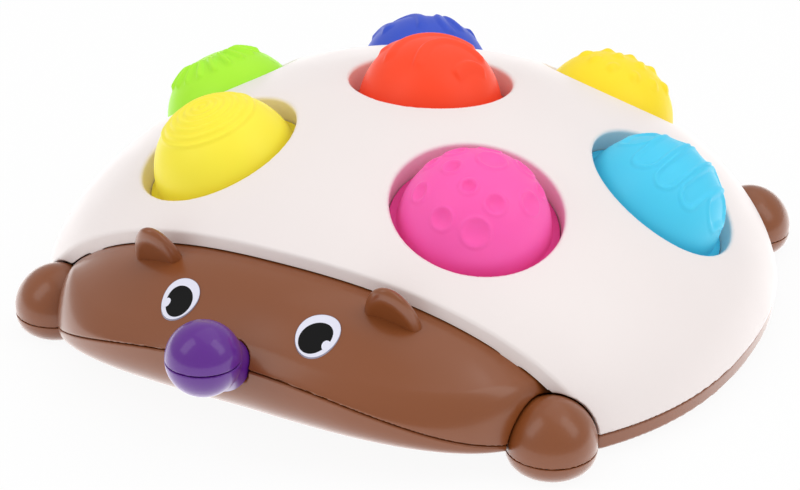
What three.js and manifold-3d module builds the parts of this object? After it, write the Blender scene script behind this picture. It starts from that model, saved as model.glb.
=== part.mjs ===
// Hedgehog toy with seven pop bubbles in a domed shell, a turning nose and four feet.
// Millimetres, +Z up. The nose points to -Y and the soles stand on z = 0.
import * as THREE from 'three';
import { mergeVertices } from 'three/addons/utils/BufferGeometryUtils.js';
import Module from 'manifold-3d';

const wasm = await Module();
wasm.setup();

// Every pair of pieces that touch keeps this gap.
const gap = 0.3;
// Reach of cutting bodies past what they cut, and the smallest step that a cut may leave.
const overrun = 12;
const sliver = 0.05;

// Domed shell: a rounded D outline, measured from the middle of its widest line.
const shell = {
  halfWidth: 93.6, rearReach: 99.6, frontReach: 86.8, outlinePowerShare: 2.17,
  edgeZ: 6.4, edgeBand: 0.6, topZ: 58.6, rimPowerShare: 2.15, crownPowerShare: 1.56,
  wall: 2.4, frontYShare: 0.7177, frontBowRadius: 301,
};

// Wells and bubbles. Left is -X, as seen by someone who faces the nose.
const wells = [
  { name: 'front_left', side: -1, row: 'front', colour: '#fdee46' },
  { name: 'front_right', side: 1, row: 'front', colour: '#ff62b6' },
  { name: 'middle_left', side: -1, row: 'middle', colour: '#a8ee3c' },
  { name: 'centre', side: 0, row: 'centre', colour: '#ff5226' },
  { name: 'middle_right', side: 1, row: 'middle', colour: '#4bcdf0' },
  { name: 'back_left', side: -1, row: 'back', colour: '#3454cc' },
  { name: 'back_right', side: 1, row: 'back', colour: '#ffe11e' },
];
const well = { radius: 21, wall: 1.6, foldDepth: 11.4, leanShare: 0.92, fromLip: 28.7, backShare: 0.6516 };
// A row lies out by shares of the shell's and the well's sizes, and back by a share of the rows' whole way.
const rows = {
  front: { shellShare: 0.395, wellShare: 0, alongShare: 0 },
  middle: { shellShare: 0.702, wellShare: 0, alongShare: 0.4924 },
  centre: { shellShare: 0, wellShare: 0, alongShare: 0.469 },
  back: { shellShare: 0.158, wellShare: 0.7053, alongShare: 1 },
};
const bubble = {
  room: 2.1, height: 21.6, roundPowerShare: 2.2, wall: 1.7,
  skirtWidth: 3.7, flangeWidth: 3.4, flangeThickness: 1.4,
};
const retainer = { thickness: 1.6, wall: 1.2, lip: 3, cover: 4.1 };

// Tray that closes the shell from below.
const tray = {
  bottomZ: 2.5, floor: 1.8, inset: 0.7, rimWidth: 2.6, spigotWall: 1.6, spigotTopZ: 10,
  ventLength: 16, ventWidth: 3, ventPitch: 8, ventCount: 3,
  frontWall: 2.2, frontWallTopZ: 16, frontWallShare: 0.74,
};

// Head: two hollow shells that meet on a seam which rises to the nose.
const head = {
  footLap: 1.73, rootLength: 24.3, reach: 26, outlinePowerShare: 2.92, wall: 2.2,
  seamBelowLip: 14.74, seamDrop: 17.5, seamPowerShare: 1.95, bottomZ: 2.5, bottomPowerShare: 3.1,
  brow: 1.7, browRise: 14.5, browPowerShare: 4, slopePowerShare: 0.75, edgeRadius: 4.5, tuck: 4,
  leastRun: 6, lipGap: 0.6,
};
// The nose stands on the seam at the head's front and leans up out of it.
const nose = {
  radius: 8.9, wall: 1.8, reach: 9.748, tiltDegrees: 33.8, neckRadius: 4.6, cuffRadius: 6.9,
  cuffDepth: 1.5, journalRadius: 2.6, flangeRadius: 5.8, flangeThickness: 1.6, collarRadius: 3.9,
  collarWidth: 2, housingRadius: 9, housingLength: 9, shaftRadius: 1.8, shaftLength: 16,
};
const click = { tipRadius: 4, rootRadius: 3.3, toothCount: 12, width: 4.5, fromHousing: 1 };
const spring = {
  thickness: 0.6, width: 4, length: 17, postWidth: 3, postDepth: 6, postLength: 22, rise: 1.4,
};
const ear = {
  x: 32.2, ahead: 4.5, rootLift: 5.53, halfWidth: 7.6, depth: 3.8, height: 14.2,
  turnDegrees: 25, leanDegrees: 14, scoopShare: 0.76, scoopForward: 3.6, scoopLift: 3.4, plug: 4,
};
const eye = {
  x: 18.9, ahead: 15.3, length: 5.7, width: 4.6, turnDegrees: 38, thickness: 0.5, eggShare: 0.16,
};

// Feet: an upper half with a tongue under the shell, and a sole.
const foot = {
  frontXShare: 0.745, frontYShare: -0.673, frontTurnDegrees: -53,
  rearXShare: 0.7265, rearYShare: 0.709, rearTurnDegrees: 46,
  radius: 10.8, waistZ: 7, seamZ: 5.3, domeZ: 18.4, soleRadius: 8.2, wall: 1.8,
  tongueReach: 19, tongueWidth: 10, tongueTopZ: 8.8, scallopGap: 0.5,
};

// Screws: pan heads in recesses, shanks in blind pilot holes.
const screw = {
  headRadius: 2.7, headHeight: 1.6, shankRadius: 1.15, length: 13, tip: 1.2,
  pilotRadius: 1.5, clearRadius: 1.6, recessRadius: 3.1, bossRadius: 3.6,
};
const bossPlaces = {
  tongueShare: 0.8, midFrontBack: 25.8, midRearInset: 15.1, neckXShare: 0.44, neckZ: 10,
  neckStub: 10.5, headXShare: 0.588, headAhead: 1.7, headSeatZ: 9.5,
};

const colours = {
  shell: '#f0eae8', brown: '#8c5232', purple: '#6b3296', eye: '#e1e1f0',
  steel: '#b9bcc0', ring: '#e9e6e2', spring: '#c8c8c4',
};
const steps = {
  dome: 40, domeRings: 8, domeCoreRings: 6, bore: 20, turn: 16, foot: 16, footArc: 4, soleArc: 3,
  head: 32, headRings: 8, headCore: 16, headCoreRings: 4, ball: 16, ear: 16, screw: 6, rod: 8,
  curve: 8, bubbleArc: 3, eye: 18,
};

const fullTurn = 2 * Math.PI;
const rad = THREE.MathUtils.degToRad;

// Places that follow from the sizes: the shell's front, the feet, the head between them, and its pieces.
const frontY = -shell.frontReach * shell.frontYShare;
const [frontFootX, frontFootY] = [shell.halfWidth * foot.frontXShare, shell.frontReach * foot.frontYShare];
const [rearFootX, rearFootY] = [shell.halfWidth * foot.rearXShare, shell.rearReach * foot.rearYShare];
const headHalfWidth = frontFootX - head.footLap;
const headBackY = frontY + head.rootLength;
const headFrontY = frontY - head.reach;
const noseTilt = rad(nose.tiltDegrees);
const ballY = headFrontY - nose.reach * Math.cos(noseTilt);
// Along the nose's axis, from the head's front inwards.
const collarY = nose.housingLength / 2;
const clickY = nose.housingLength + click.fromHousing;
const [headScrewX, headScrewY] = [headHalfWidth * bossPlaces.headXShare, frontY - bossPlaces.headAhead];
const neckScrewX = headHalfWidth * bossPlaces.neckXShare;

const frontRowY = frontY + well.fromLip;
const backRowY = shell.rearReach * well.backShare;
const bubbleRadius = well.radius - bubble.room;
const crownRadius = bubbleRadius - bubble.skirtWidth;
const flangeRadius = bubbleRadius + bubble.flangeWidth;

// Solids from geometry, and back.
function toSolid(geometry) {
  geometry.deleteAttribute('normal');
  geometry.deleteAttribute('uv');
  const merged = mergeVertices(geometry);
  const index = [];
  for (let i = 0; i < merged.index.count; i += 3) {
    const [a, b, c] = [0, 1, 2].map((k) => merged.index.getX(i + k));
    if (a !== b && b !== c && c !== a) {
      index.push(a, b, c);
    }
  }
  const vertProperties = new Float32Array(merged.attributes.position.array);
  const triVerts = new Uint32Array(index);
  return new wasm.Manifold(new wasm.Mesh({ numProp: 3, vertProperties, triVerts }));
}

function toGeometry(solid) {
  const mesh = solid.getMesh();
  const geometry = new THREE.BufferGeometry();
  geometry.setAttribute('position', new THREE.BufferAttribute(new Float32Array(mesh.vertProperties), 3));
  geometry.setIndex(new THREE.BufferAttribute(new Uint32Array(mesh.triVerts), 1));
  return geometry;
}

function joined(...solids) {
  return solids.reduce((sum, next) => sum.add(next));
}

function cutBy(solid, ...tools) {
  return tools.reduce((left, tool) => left.subtract(tool), solid);
}

// A turned body about +Z from [radius, z] points, listed counterclockwise.
function turned(points, segments) {
  const profile = points.map(([r, z]) => new THREE.Vector2(r, z));
  return new THREE.LatheGeometry(profile, segments).rotateX(Math.PI / 2);
}

function rod(radius, z0, z1, segments = steps.rod) {
  return toSolid(turned([[0, z0], [radius, z0], [radius, z1], [0, z1]], segments));
}

function rodAlongY(radius, y0, y1, z, segments = steps.rod) {
  const bar = turned([[0, y0], [radius, y0], [radius, y1], [0, y1]], segments);
  return toSolid(bar.rotateX(-Math.PI / 2).translate(0, 0, z));
}

function block(x0, x1, y0, y1, z0, z1) {
  const box = new THREE.BoxGeometry(x1 - x0, y1 - y0, z1 - z0);
  return toSolid(box.translate((x0 + x1) / 2, (y0 + y1) / 2, (z0 + z1) / 2));
}

function slab(points, z0, z1) {
  const outline = new THREE.Shape(points.map(([x, y]) => new THREE.Vector2(x, y)));
  const plate = new THREE.ExtrudeGeometry(outline, { depth: z1 - z0, bevelEnabled: false });
  return toSolid(plate.translate(0, 0, z0));
}

// A body over an outline that can be seen from its middle, between a top and a bottom surface.
function heightSolid({ outline, from, to, rings, segments, top, bottom }) {
  const whole = to - from >= fullTurn;
  const places = [];
  const faces = [];
  const shares = Array.from({ length: rings }, (_, j) => Math.sin(((j + 1) / rings) * Math.PI / 2));
  const columns = whole ? segments : segments + 1;
  const inRing = (j, i) => (j < 0 ? 0 : 1 + j * columns + (i % columns));
  const at = (layer, j, i) => layer * (1 + rings * columns) + inRing(j, i);
  for (const surface of [top, bottom]) {
    const [x0, y0] = outline(from, 0);
    places.push([x0, y0, surface(x0, y0, 0)]);
    for (const share of shares) {
      for (let i = 0; i < columns; i += 1) {
        const [x, y] = outline(from + ((to - from) * i) / segments, share);
        places.push([x, y, surface(x, y, share)]);
      }
    }
  }
  const quad = (a, b, c, d) => faces.push(a, b, c, a, c, d);
  for (let i = 0; i < segments; i += 1) {
    faces.push(at(0, -1, 0), at(0, 0, i), at(0, 0, i + 1));
    faces.push(at(1, -1, 0), at(1, 0, i + 1), at(1, 0, i));
    for (let j = 0; j < rings - 1; j += 1) {
      quad(at(0, j, i), at(0, j + 1, i), at(0, j + 1, i + 1), at(0, j, i + 1));
      quad(at(1, j, i), at(1, j, i + 1), at(1, j + 1, i + 1), at(1, j + 1, i));
    }
    const last = rings - 1;
    quad(at(1, last, i), at(1, last, i + 1), at(0, last, i + 1), at(0, last, i));
  }
  if (!whole) {
    for (let j = -1; j < rings - 1; j += 1) {
      quad(at(0, j, 0), at(1, j, 0), at(1, j + 1, 0), at(0, j + 1, 0));
      quad(at(0, j + 1, segments), at(1, j + 1, segments), at(1, j, segments), at(0, j, segments));
    }
  }
  const geometry = new THREE.BufferGeometry();
  geometry.setAttribute('position', new THREE.Float32BufferAttribute(places.flat(), 3));
  geometry.setIndex(faces);
  return toSolid(geometry);
}

// Superellipse of half sizes a and b: the point at an angle, and how far out a point lies.
function roundPoint(angle, a, b, power) {
  const [c, s] = [Math.cos(angle), Math.sin(angle)];
  const k = (Math.abs(c) ** power + Math.abs(s) ** power) ** (-1 / power);
  return [a * c * k, b * s * k];
}

function roundShare(x, y, a, b, power) {
  return (Math.abs(x / a) ** power + Math.abs(y / b) ** power) ** (1 / power);
}

// The dome's surface, drawn in by an inset.
function domeZ(x, y, inset = 0) {
  const reach = (y > 0 ? shell.rearReach : shell.frontReach) - inset;
  const out = Math.min(1, roundShare(x, y, shell.halfWidth - inset, reach, shell.outlinePowerShare));
  const bandZ = shell.edgeZ + shell.edgeBand;
  const level = (1 - out ** shell.rimPowerShare) ** (1 / shell.crownPowerShare);
  return bandZ + (shell.topZ - bandZ - inset) * level;
}

// The head's seam lies below the inside of the shell's lip, and the nose's axis starts on it.
const seamMidZ = domeZ(0, frontY, shell.wall) - head.seamBelowLip;
const ballZ = seamMidZ + nose.reach * Math.sin(noseTilt);

function shellOutline(inset) {
  return (angle, share) => {
    const reach = (Math.sin(angle) > 0 ? shell.rearReach : shell.frontReach) - inset;
    const [x, y] = roundPoint(angle, shell.halfWidth - inset, reach, shell.outlinePowerShare);
    return [x * share, y * share];
  };
}

function outlineSolid(inset, z0, z1) {
  const points = [];
  const outline = shellOutline(inset);
  for (let i = 0; i < steps.dome; i += 1) {
    points.push(outline((fullTurn * i) / steps.dome, 1));
  }
  return slab(points, z0, z1);
}

function dome(inset, bottomZ, segments, rings) {
  const outline = shellOutline(inset);
  const top = (x, y) => domeZ(x, y, inset);
  return heightSolid({ outline, from: 0, to: fullTurn, rings, segments, top, bottom: () => bottomZ });
}

// Where the shell ends over the head, and the spaces in front of and behind that curve.
function frontCurve(x) {
  return frontY + (x * x) / (2 * shell.frontBowRadius);
}

function curvePoints(offset, halfWidth) {
  const points = [];
  for (let i = 0; i <= steps.curve; i += 1) {
    const x = halfWidth * (2 * (i / steps.curve) - 1);
    points.push([x, frontCurve(x) + offset]);
  }
  return points;
}

function aheadOf(offset) {
  const halfWidth = shell.halfWidth + overrun;
  const farY = -shell.frontReach - overrun - overrun;
  const points = [[-halfWidth, farY], [halfWidth, farY], ...curvePoints(offset, halfWidth).reverse()];
  return slab(points, -overrun, shell.topZ + overrun);
}

function behind(offset) {
  const halfWidth = shell.halfWidth + overrun;
  const farY = shell.rearReach + overrun;
  const points = [...curvePoints(offset, halfWidth), [halfWidth, farY], [-halfWidth, farY]];
  return slab(points, -overrun, shell.topZ + overrun);
}

// A well's own frame: +Z out of the shell, origin where the bubble folds.
function wellMatrix({ side, row }) {
  const { shellShare, wellShare, alongShare } = rows[row];
  const px = side * (shell.halfWidth * shellShare + well.radius * wellShare);
  const y = frontRowY + (backRowY - frontRowY) * alongShare;
  const h = sliver;
  const slopeX = (domeZ(px + h, y) - domeZ(px - h, y)) / (2 * h);
  const slopeY = (domeZ(px, y + h) - domeZ(px, y - h)) / (2 * h);
  const axis = new THREE.Vector3(-slopeX * well.leanShare, -slopeY * well.leanShare, 1).normalize();
  const turn = new THREE.Quaternion().setFromUnitVectors(new THREE.Vector3(0, 0, 1), axis);
  const place = new THREE.Vector3(px, y, domeZ(px, y)).addScaledVector(axis, -well.foldDepth);
  return new THREE.Matrix4().compose(place, turn, new THREE.Vector3(1, 1, 1));
}

function placed(geometry, matrix) {
  return toSolid(geometry.applyMatrix4(matrix));
}

function wellTube(matrix) {
  const outer = well.radius + well.wall;
  const inner = well.radius - sliver;
  const highZ = well.foldDepth + overrun;
  const points = [[inner, gap], [outer, gap], [outer, highZ], [inner, highZ], [inner, gap]];
  return placed(turned(points, steps.bore), matrix);
}

function wellBore(matrix) {
  const highZ = well.foldDepth + overrun + gap;
  const points = [[0, -gap], [well.radius, -gap], [well.radius, highZ], [0, highZ]];
  return placed(turned(points, steps.bore), matrix);
}

// Feet: their places, and the turn that points out of the toy.
const footPlaces = [
  { name: 'front_left', x: -frontFootX, y: frontFootY, turn: Math.PI - rad(foot.frontTurnDegrees) },
  { name: 'front_right', x: frontFootX, y: frontFootY, turn: rad(foot.frontTurnDegrees) },
  { name: 'rear_left', x: -rearFootX, y: rearFootY, turn: Math.PI - rad(foot.rearTurnDegrees) },
  { name: 'rear_right', x: rearFootX, y: rearFootY, turn: rad(foot.rearTurnDegrees) },
];
const floorTopZ = tray.bottomZ + tray.floor;
const footSplitZ = foot.seamZ + gap;

// The round body of a foot above a height, grown all round by a distance.
function footDome(grow, lowZ) {
  const radius = foot.radius + grow;
  const rise = foot.domeZ - foot.waistZ + grow;
  const points = [[0, lowZ], [radius, lowZ]];
  for (let i = 0; i < steps.footArc; i += 1) {
    const angle = ((Math.PI / 2) * i) / steps.footArc;
    points.push([radius * Math.cos(angle), foot.waistZ + rise * Math.sin(angle)]);
  }
  points.push([0, foot.waistZ + rise]);
  return toSolid(turned(points, steps.foot));
}

function footTongue(grow, x1, lowZ, highZ) {
  const halfWidth = foot.tongueWidth / 2 + grow;
  return block(-foot.tongueReach - grow, x1, -halfWidth, halfWidth, lowZ, highZ);
}

function tongueEnd({ x, y, turn }) {
  const inward = foot.tongueReach * bossPlaces.tongueShare;
  return [x - inward * Math.cos(turn), y - inward * Math.sin(turn)];
}

function footUpper() {
  const inside = foot.radius - foot.wall;
  const high = footTongue(0, 0, footSplitZ, foot.tongueTopZ).subtract(rod(inside, 0, foot.domeZ));
  const low = footTongue(0, -foot.radius - gap, floorTopZ + gap, foot.tongueTopZ);
  const boss = rod(screw.bossRadius, footSplitZ, foot.domeZ - foot.wall / 2);
  const cap = footDome(0, footSplitZ).subtract(footDome(-foot.wall, footSplitZ - gap));
  const pilot = rod(screw.pilotRadius, 0, screw.headHeight + screw.length + gap + gap);
  const hole = rod(screw.clearRadius, 0, foot.domeZ);
  const holeAt = hole.translate([-foot.tongueReach * bossPlaces.tongueShare, 0, 0]);
  return cutBy(joined(cap, high, low, boss), pilot, holeAt);
}

function footSole() {
  const corner = foot.radius - foot.soleRadius;
  const points = [[0, 0], [foot.soleRadius, 0]];
  for (let i = 1; i <= steps.soleArc; i += 1) {
    const angle = ((Math.PI / 2) * i) / steps.soleArc;
    const rise = (1 - Math.cos(angle)) * foot.seamZ;
    points.push([foot.soleRadius + corner * Math.sin(angle), rise]);
  }
  points.push([0, foot.seamZ]);
  const seat = rod(screw.recessRadius, -gap, screw.headHeight + gap + gap);
  const hole = rod(screw.clearRadius, 0, foot.seamZ + gap);
  return cutBy(toSolid(turned(points, steps.foot)), seat, hole);
}

// The spaces that the shell, tray and head leave for a foot's body and tongue.
function footSpaces({ x, y, turn }) {
  const matrix = new THREE.Matrix4().makeRotationZ(turn).setPosition(x, y, 0).elements;
  const grow = foot.scallopGap;
  const round = footDome(grow, -overrun).transform(matrix);
  const tongue = footTongue(grow, 0, floorTopZ, foot.tongueTopZ + gap).transform(matrix);
  return { round, tongue };
}

// Head surfaces.
function headSeam(x) {
  return seamMidZ - head.seamDrop * Math.abs(x / headHalfWidth) ** head.seamPowerShare;
}

function headTop(x, y, inset = 0) {
  const power = head.outlinePowerShare;
  const a = headHalfWidth - inset;
  const b = headBackY - headFrontY - inset;
  const out = Math.min(1, roundShare(x, headBackY - y, a, b, power));
  const reach = b * Math.max(0, 1 - Math.abs(x / a) ** power) ** (1 / power);
  const run = Math.max(head.leastRun, reach - headBackY + frontCurve(x));
  const along = Math.min(1, Math.max(0, (frontCurve(x) - y) / run));
  const seamZ = headSeam(x);
  const lipZ = domeZ(x, frontCurve(x), shell.wall) - head.lipGap - inset;
  const browZ = head.brow + head.browRise * Math.abs(x / headHalfWidth) ** head.browPowerShare;
  const lowZ = Math.min(lipZ, seamZ + browZ - inset);
  const crownZ = lowZ + (lipZ - lowZ) * (1 - along) ** head.slopePowerShare;
  const edge = Math.max(head.wall / 2, head.edgeRadius - inset);
  const inwards = Math.min(1, ((1 - out) * b) / edge);
  return seamZ + Math.max(0, crownZ - seamZ) * Math.sqrt(1 - (1 - inwards) ** 2);
}

function headBottom(x, y, inset = 0) {
  const a = headHalfWidth - inset;
  const b = headBackY - headFrontY - inset;
  const out = Math.min(1, roundShare(x, headBackY - y, a, b, head.outlinePowerShare));
  const seamZ = headSeam(x);
  const power = head.bottomPowerShare;
  return seamZ - Math.max(0, seamZ - head.bottomZ - inset) * (1 - out ** power) ** (1 / power);
}

function headBody(inset, rings = steps.headRings, segments = steps.head) {
  const a = headHalfWidth - inset;
  const b = headBackY - headFrontY - inset;
  const outline = (angle, share) => {
    const [x, y] = roundPoint(angle, a, b, head.outlinePowerShare);
    return [x * share, headBackY + y * share];
  };
  const top = (x, y, share) => headTop(x, y, inset) + (share === 1 ? sliver : 0);
  const bottom = (x, y, share) => headBottom(x, y, inset) - (share === 1 ? sliver : 0);
  return heightSolid({
    outline, from: Math.PI, to: fullTurn, rings, segments, top, bottom,
  });
}

// Everything above or below the head's seam.
function seamSide(up, shift) {
  const points = [];
  for (let i = 0; i <= steps.head; i += 1) {
    const x = (headHalfWidth + overrun) * (2 * (i / steps.head) - 1);
    points.push([x, headSeam(x) + shift]);
  }
  const endX = headHalfWidth + overrun;
  const farZ = up ? shell.topZ + overrun : -shell.topZ;
  points.push([endX, farZ], [-endX, farZ]);
  const outline = new THREE.Shape(points.map(([x, z]) => new THREE.Vector2(x, z)));
  const length = shell.frontReach + shell.rearReach;
  const wedge = new THREE.ExtrudeGeometry(outline, { depth: length, bevelEnabled: false });
  return toSolid(wedge.rotateX(Math.PI / 2).translate(0, length / 2, 0));
}

// The nose's frame: its axis lies along Y there, and 0 is on the seam at the head's front.
function onNose(solid) {
  return solid.rotate([-nose.tiltDegrees, 0, 0]).translate([0, headFrontY, seamMidZ]);
}

function roundAlongNose(radius, y0, y1) {
  return onNose(rodAlongY(radius, y0, y1, 0, steps.turn));
}

// Inside the housing the halves part on the nose's axis, so that the spindle lies between them.
function axisSide(shift) {
  const halfWidth = nose.cuffRadius - shift;
  const endY = nose.housingLength - shift;
  return onNose(block(-halfWidth, halfWidth, -overrun, endY, shift, nose.housingRadius + overrun));
}

// An ear in its own frame, with its root at the origin and its face to -Y.
function earBody(grow) {
  const shape = new THREE.SphereGeometry(1, steps.ear, steps.ear / 2);
  shape.rotateX(Math.PI / 2).scale(ear.halfWidth + grow, ear.depth + grow, ear.height + grow);
  const keep = block(-overrun, overrun, -overrun, overrun, -ear.plug - grow, ear.height + overrun);
  return toSolid(shape).intersect(keep);
}

function earMatrix(side) {
  const turn = new THREE.Matrix4().makeRotationZ(side * rad(ear.turnDegrees));
  const lean = new THREE.Matrix4().makeRotationX(rad(ear.leanDegrees));
  return turn.multiply(lean).setPosition(side * ear.x, frontY - ear.ahead, seamMidZ + ear.rootLift);
}

function makeEar() {
  const scoop = new THREE.SphereGeometry(1, steps.ear, steps.ear / 2);
  const [width, height] = [ear.halfWidth * ear.scoopShare, ear.height * ear.scoopShare];
  scoop.rotateX(Math.PI / 2).scale(width, ear.depth, height);
  const above = block(-overrun, overrun, -overrun, overrun, ear.scoopLift, ear.height + overrun);
  return earBody(0).subtract(toSolid(scoop.translate(0, -ear.scoopForward, 0)).intersect(above));
}

// Both halves of the head, with the housing that the nose turns in.
function headShells(feet) {
  const envelope = headBody(0);
  const back = envelope.intersect(behind(head.tuck - head.wall));
  const core = headBody(head.wall, steps.headCoreRings, steps.headCore);
  const skin = joined(envelope.subtract(core), back);
  const housing = roundAlongNose(nose.housingRadius, -overrun, nose.housingLength).intersect(envelope);
  const bore = roundAlongNose(nose.journalRadius + gap, -overrun, nose.housingLength + gap);
  const halfCollar = nose.collarWidth / 2 + gap;
  const pocket = roundAlongNose(nose.collarRadius + gap, collarY - halfCollar, collarY + halfCollar);
  const cuffRoom = roundAlongNose(nose.cuffRadius + gap, -overrun, nose.cuffDepth + gap);
  const whole = joined(skin, housing, headScrewPosts(envelope));
  const footRoom = feet.flatMap((f) => [f.round, f.tongue]);
  const ballRoom = noseBall(nose.radius + gap);
  const shaped = cutBy(whole, behind(head.tuck), bore, pocket, cuffRoom, ballRoom, ...footRoom);
  const upperPart = shaped.intersect(seamSide(true, gap / 2).add(axisSide(gap / 2)));
  const upper = joined(upperPart, springPost().intersect(envelope));
  const lowerPart = joined(shaped, neckStubs()).intersect(seamSide(false, -gap / 2));
  const lower = lowerPart.subtract(axisSide(-gap / 2));
  const ears = [-1, 1].map((side) => earBody(gap).transform(earMatrix(side).elements));
  return { upper: cutBy(upper, headPilots(), ...ears), lower: cutBy(lower, headHoles(), neckPilots()) };
}

function atBothSides(solid, x, y) {
  return solid.translate([-x, y, 0]).add(solid.translate([x, y, 0]));
}

// Two screws join the halves from below, and two more hold the head to the tray.
const headTipZ = bossPlaces.headSeatZ - gap + screw.length;
const neckWallY = frontCurve(neckScrewX) + head.tuck;

function headScrewPosts(envelope) {
  const post = rod(screw.bossRadius, 0, shell.topZ);
  return atBothSides(post, headScrewX, headScrewY).intersect(envelope);
}

function headPilots() {
  return atBothSides(rod(screw.pilotRadius, 0, headTipZ + gap), headScrewX, headScrewY);
}

function headHoles() {
  const seat = rod(screw.recessRadius, -overrun, bossPlaces.headSeatZ);
  const hole = rod(screw.clearRadius, 0, shell.topZ);
  return atBothSides(seat.add(hole), headScrewX, headScrewY);
}

function neckStubs() {
  const endY = neckWallY - head.wall / 2;
  const stub = rodAlongY(screw.bossRadius, endY - bossPlaces.neckStub, endY, bossPlaces.neckZ);
  return atBothSides(stub, neckScrewX, 0);
}

function neckPilots() {
  const deepY = neckWallY - bossPlaces.neckStub;
  const pilot = rodAlongY(screw.pilotRadius, deepY, neckWallY + gap, bossPlaces.neckZ);
  return atBothSides(pilot, neckScrewX, 0);
}

// Spring leaf over the click wheel, in the nose's frame. A post of the upper head holds its root.
const leafTopZ = -click.tipRadius - gap;
const leafMidY = clickY + click.width / 2;
const leafRootX = -spring.length / 2;

function springPost() {
  const rootZ = leafTopZ - spring.postLength;
  const halfPost = spring.postDepth / 2;
  const halfSlot = spring.width / 2 + gap;
  const slotX = leafRootX - spring.postWidth / 2;
  const slotZ = leafTopZ - spring.rise;
  const post = block(leafRootX - spring.postWidth, leafRootX, -halfPost, halfPost, rootZ, leafTopZ);
  const slotFloorZ = slotZ - spring.thickness - gap;
  const slot = block(slotX, leafRootX + gap, -halfSlot, halfSlot, slotFloorZ, slotZ + gap);
  return onNose(post.subtract(slot).translate([0, leafMidY, 0]).mirror([0, 0, 1]));
}

function springLeaf() {
  const x0 = leafRootX - spring.postWidth / 2 + gap;
  const x1 = -leafRootX;
  const lowZ = leafTopZ - spring.rise;
  const upper = [[x0, lowZ]];
  for (let i = 0; i <= steps.curve; i += 1) {
    const x = (x0 + (x1 - x0) * (i + 1) / (steps.curve + 1));
    const lift = spring.rise * Math.max(0, Math.cos((Math.PI * x) / spring.length)) ** 2;
    upper.push([x, lowZ + lift]);
  }
  const lower = upper.map(([x, z]) => [x, z - spring.thickness]).reverse();
  const outline = new THREE.Shape([...upper, ...lower].map(([x, z]) => new THREE.Vector2(x, z)));
  const strip = new THREE.ExtrudeGeometry(outline, { depth: spring.width, bevelEnabled: false });
  const leaf = toSolid(strip.rotateX(Math.PI / 2).translate(0, leafMidY + spring.width / 2, 0));
  return onNose(leaf.mirror([0, 0, 1]));
}

function clickWheel() {
  const points = [];
  for (let i = 0; i < click.toothCount * 2; i += 1) {
    const angle = (Math.PI * i) / click.toothCount;
    const r = i % 2 ? click.rootRadius : click.tipRadius;
    points.push(new THREE.Vector2(r * Math.cos(angle), r * Math.sin(angle)));
  }
  const endY = clickY + click.width;
  const outline = new THREE.Shape(points);
  const disc = new THREE.ExtrudeGeometry(outline, { depth: click.width, bevelEnabled: false });
  const wheel = onNose(toSolid(disc.rotateX(Math.PI / 2).translate(0, endY, 0)));
  return wheel.subtract(roundAlongNose(nose.shaftRadius + gap, clickY - gap, endY + gap));
}

// The nose's spindle: flange in the ball, neck, cuff against the ball, journal, collar and shaft.
function spindle() {
  const halfFlange = nose.flangeThickness / 2;
  const halfCollar = nose.collarWidth / 2;
  const midY = -nose.reach;
  const seatY = (r) => midY + Math.sqrt((nose.radius + gap) ** 2 - r * r);
  const points = [
    [0, midY - halfFlange], [nose.flangeRadius, midY - halfFlange],
    [nose.flangeRadius, midY + halfFlange], [nose.neckRadius, midY + halfFlange],
    [nose.neckRadius, seatY(nose.neckRadius)], [nose.cuffRadius, seatY(nose.cuffRadius)],
    [nose.cuffRadius, nose.cuffDepth], [nose.journalRadius, nose.cuffDepth],
    [nose.journalRadius, collarY - halfCollar], [nose.collarRadius, collarY - halfCollar],
    [nose.collarRadius, collarY + halfCollar], [nose.shaftRadius, collarY + halfCollar],
    [nose.shaftRadius, nose.shaftLength], [0, nose.shaftLength],
  ];
  return onNose(toSolid(turned(points, steps.turn).rotateX(-Math.PI / 2)));
}

function noseBall(radius) {
  return toSolid(new THREE.SphereGeometry(radius, steps.ball, steps.ball / 2)
    .rotateX(Math.PI / 2).translate(0, ballY, ballZ));
}

function noseHalf(up) {
  const far = nose.radius + gap;
  const neck = roundAlongNose(nose.neckRadius + gap, -nose.reach, far - nose.reach);
  const [z0, z1] = up ? [gap / 2, far] : [-far, -gap / 2];
  const half = block(-far, far, ballY - far, ballY + far, ballZ + z0, ballZ + z1);
  return cutBy(noseBall(nose.radius), noseBall(nose.radius - nose.wall), neck).intersect(half);
}

// An eye lies on the head like a sticker: an egg outline whose faces follow the head.
function eyePlate(side) {
  const turn = rad(side > 0 ? eye.turnDegrees : 180 - eye.turnDegrees);
  const [c, s] = [Math.cos(turn), Math.sin(turn)];
  const outline = (angle, share) => {
    const u = eye.length * share * Math.cos(angle);
    const v = eye.width * share * Math.sin(angle) * (1 - eye.eggShare * Math.cos(angle));
    return [side * eye.x + u * c - v * s, frontY - eye.ahead + u * s + v * c];
  };
  const bottom = (x, y) => headTop(x, y) + gap;
  const top = (x, y) => bottom(x, y) + eye.thickness;
  return heightSolid({ outline, from: 0, to: fullTurn, rings: 1, segments: steps.eye, top, bottom });
}

// Bubbles, in the well's frame: a crown that moves, and a skirt with the clamped flange.
function bubbleArc(inset, from, to) {
  const power = bubble.roundPowerShare;
  const points = [];
  for (let i = 0; i <= steps.bubbleArc; i += 1) {
    const r = from + ((to - from) * i) / steps.bubbleArc;
    const out = Math.min(1, r / (bubbleRadius - inset));
    points.push([r, (bubble.height - inset) * (1 - out ** power) ** (1 / power)]);
  }
  return points;
}

function crownSolid() {
  const edge = crownRadius;
  return toSolid(turned([...bubbleArc(bubble.wall, 0, edge), ...bubbleArc(0, edge, 0)], steps.turn));
}

function skirtSolid() {
  const edge = crownRadius + gap;
  const inner = bubbleRadius - bubble.wall;
  const low = -bubble.flangeThickness;
  const outline = [
    [inner, low], [flangeRadius, low], [flangeRadius, 0],
    ...bubbleArc(0, bubbleRadius, edge), ...bubbleArc(bubble.wall, edge, inner), [inner, low],
  ];
  return toSolid(turned(outline, steps.turn));
}

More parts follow.
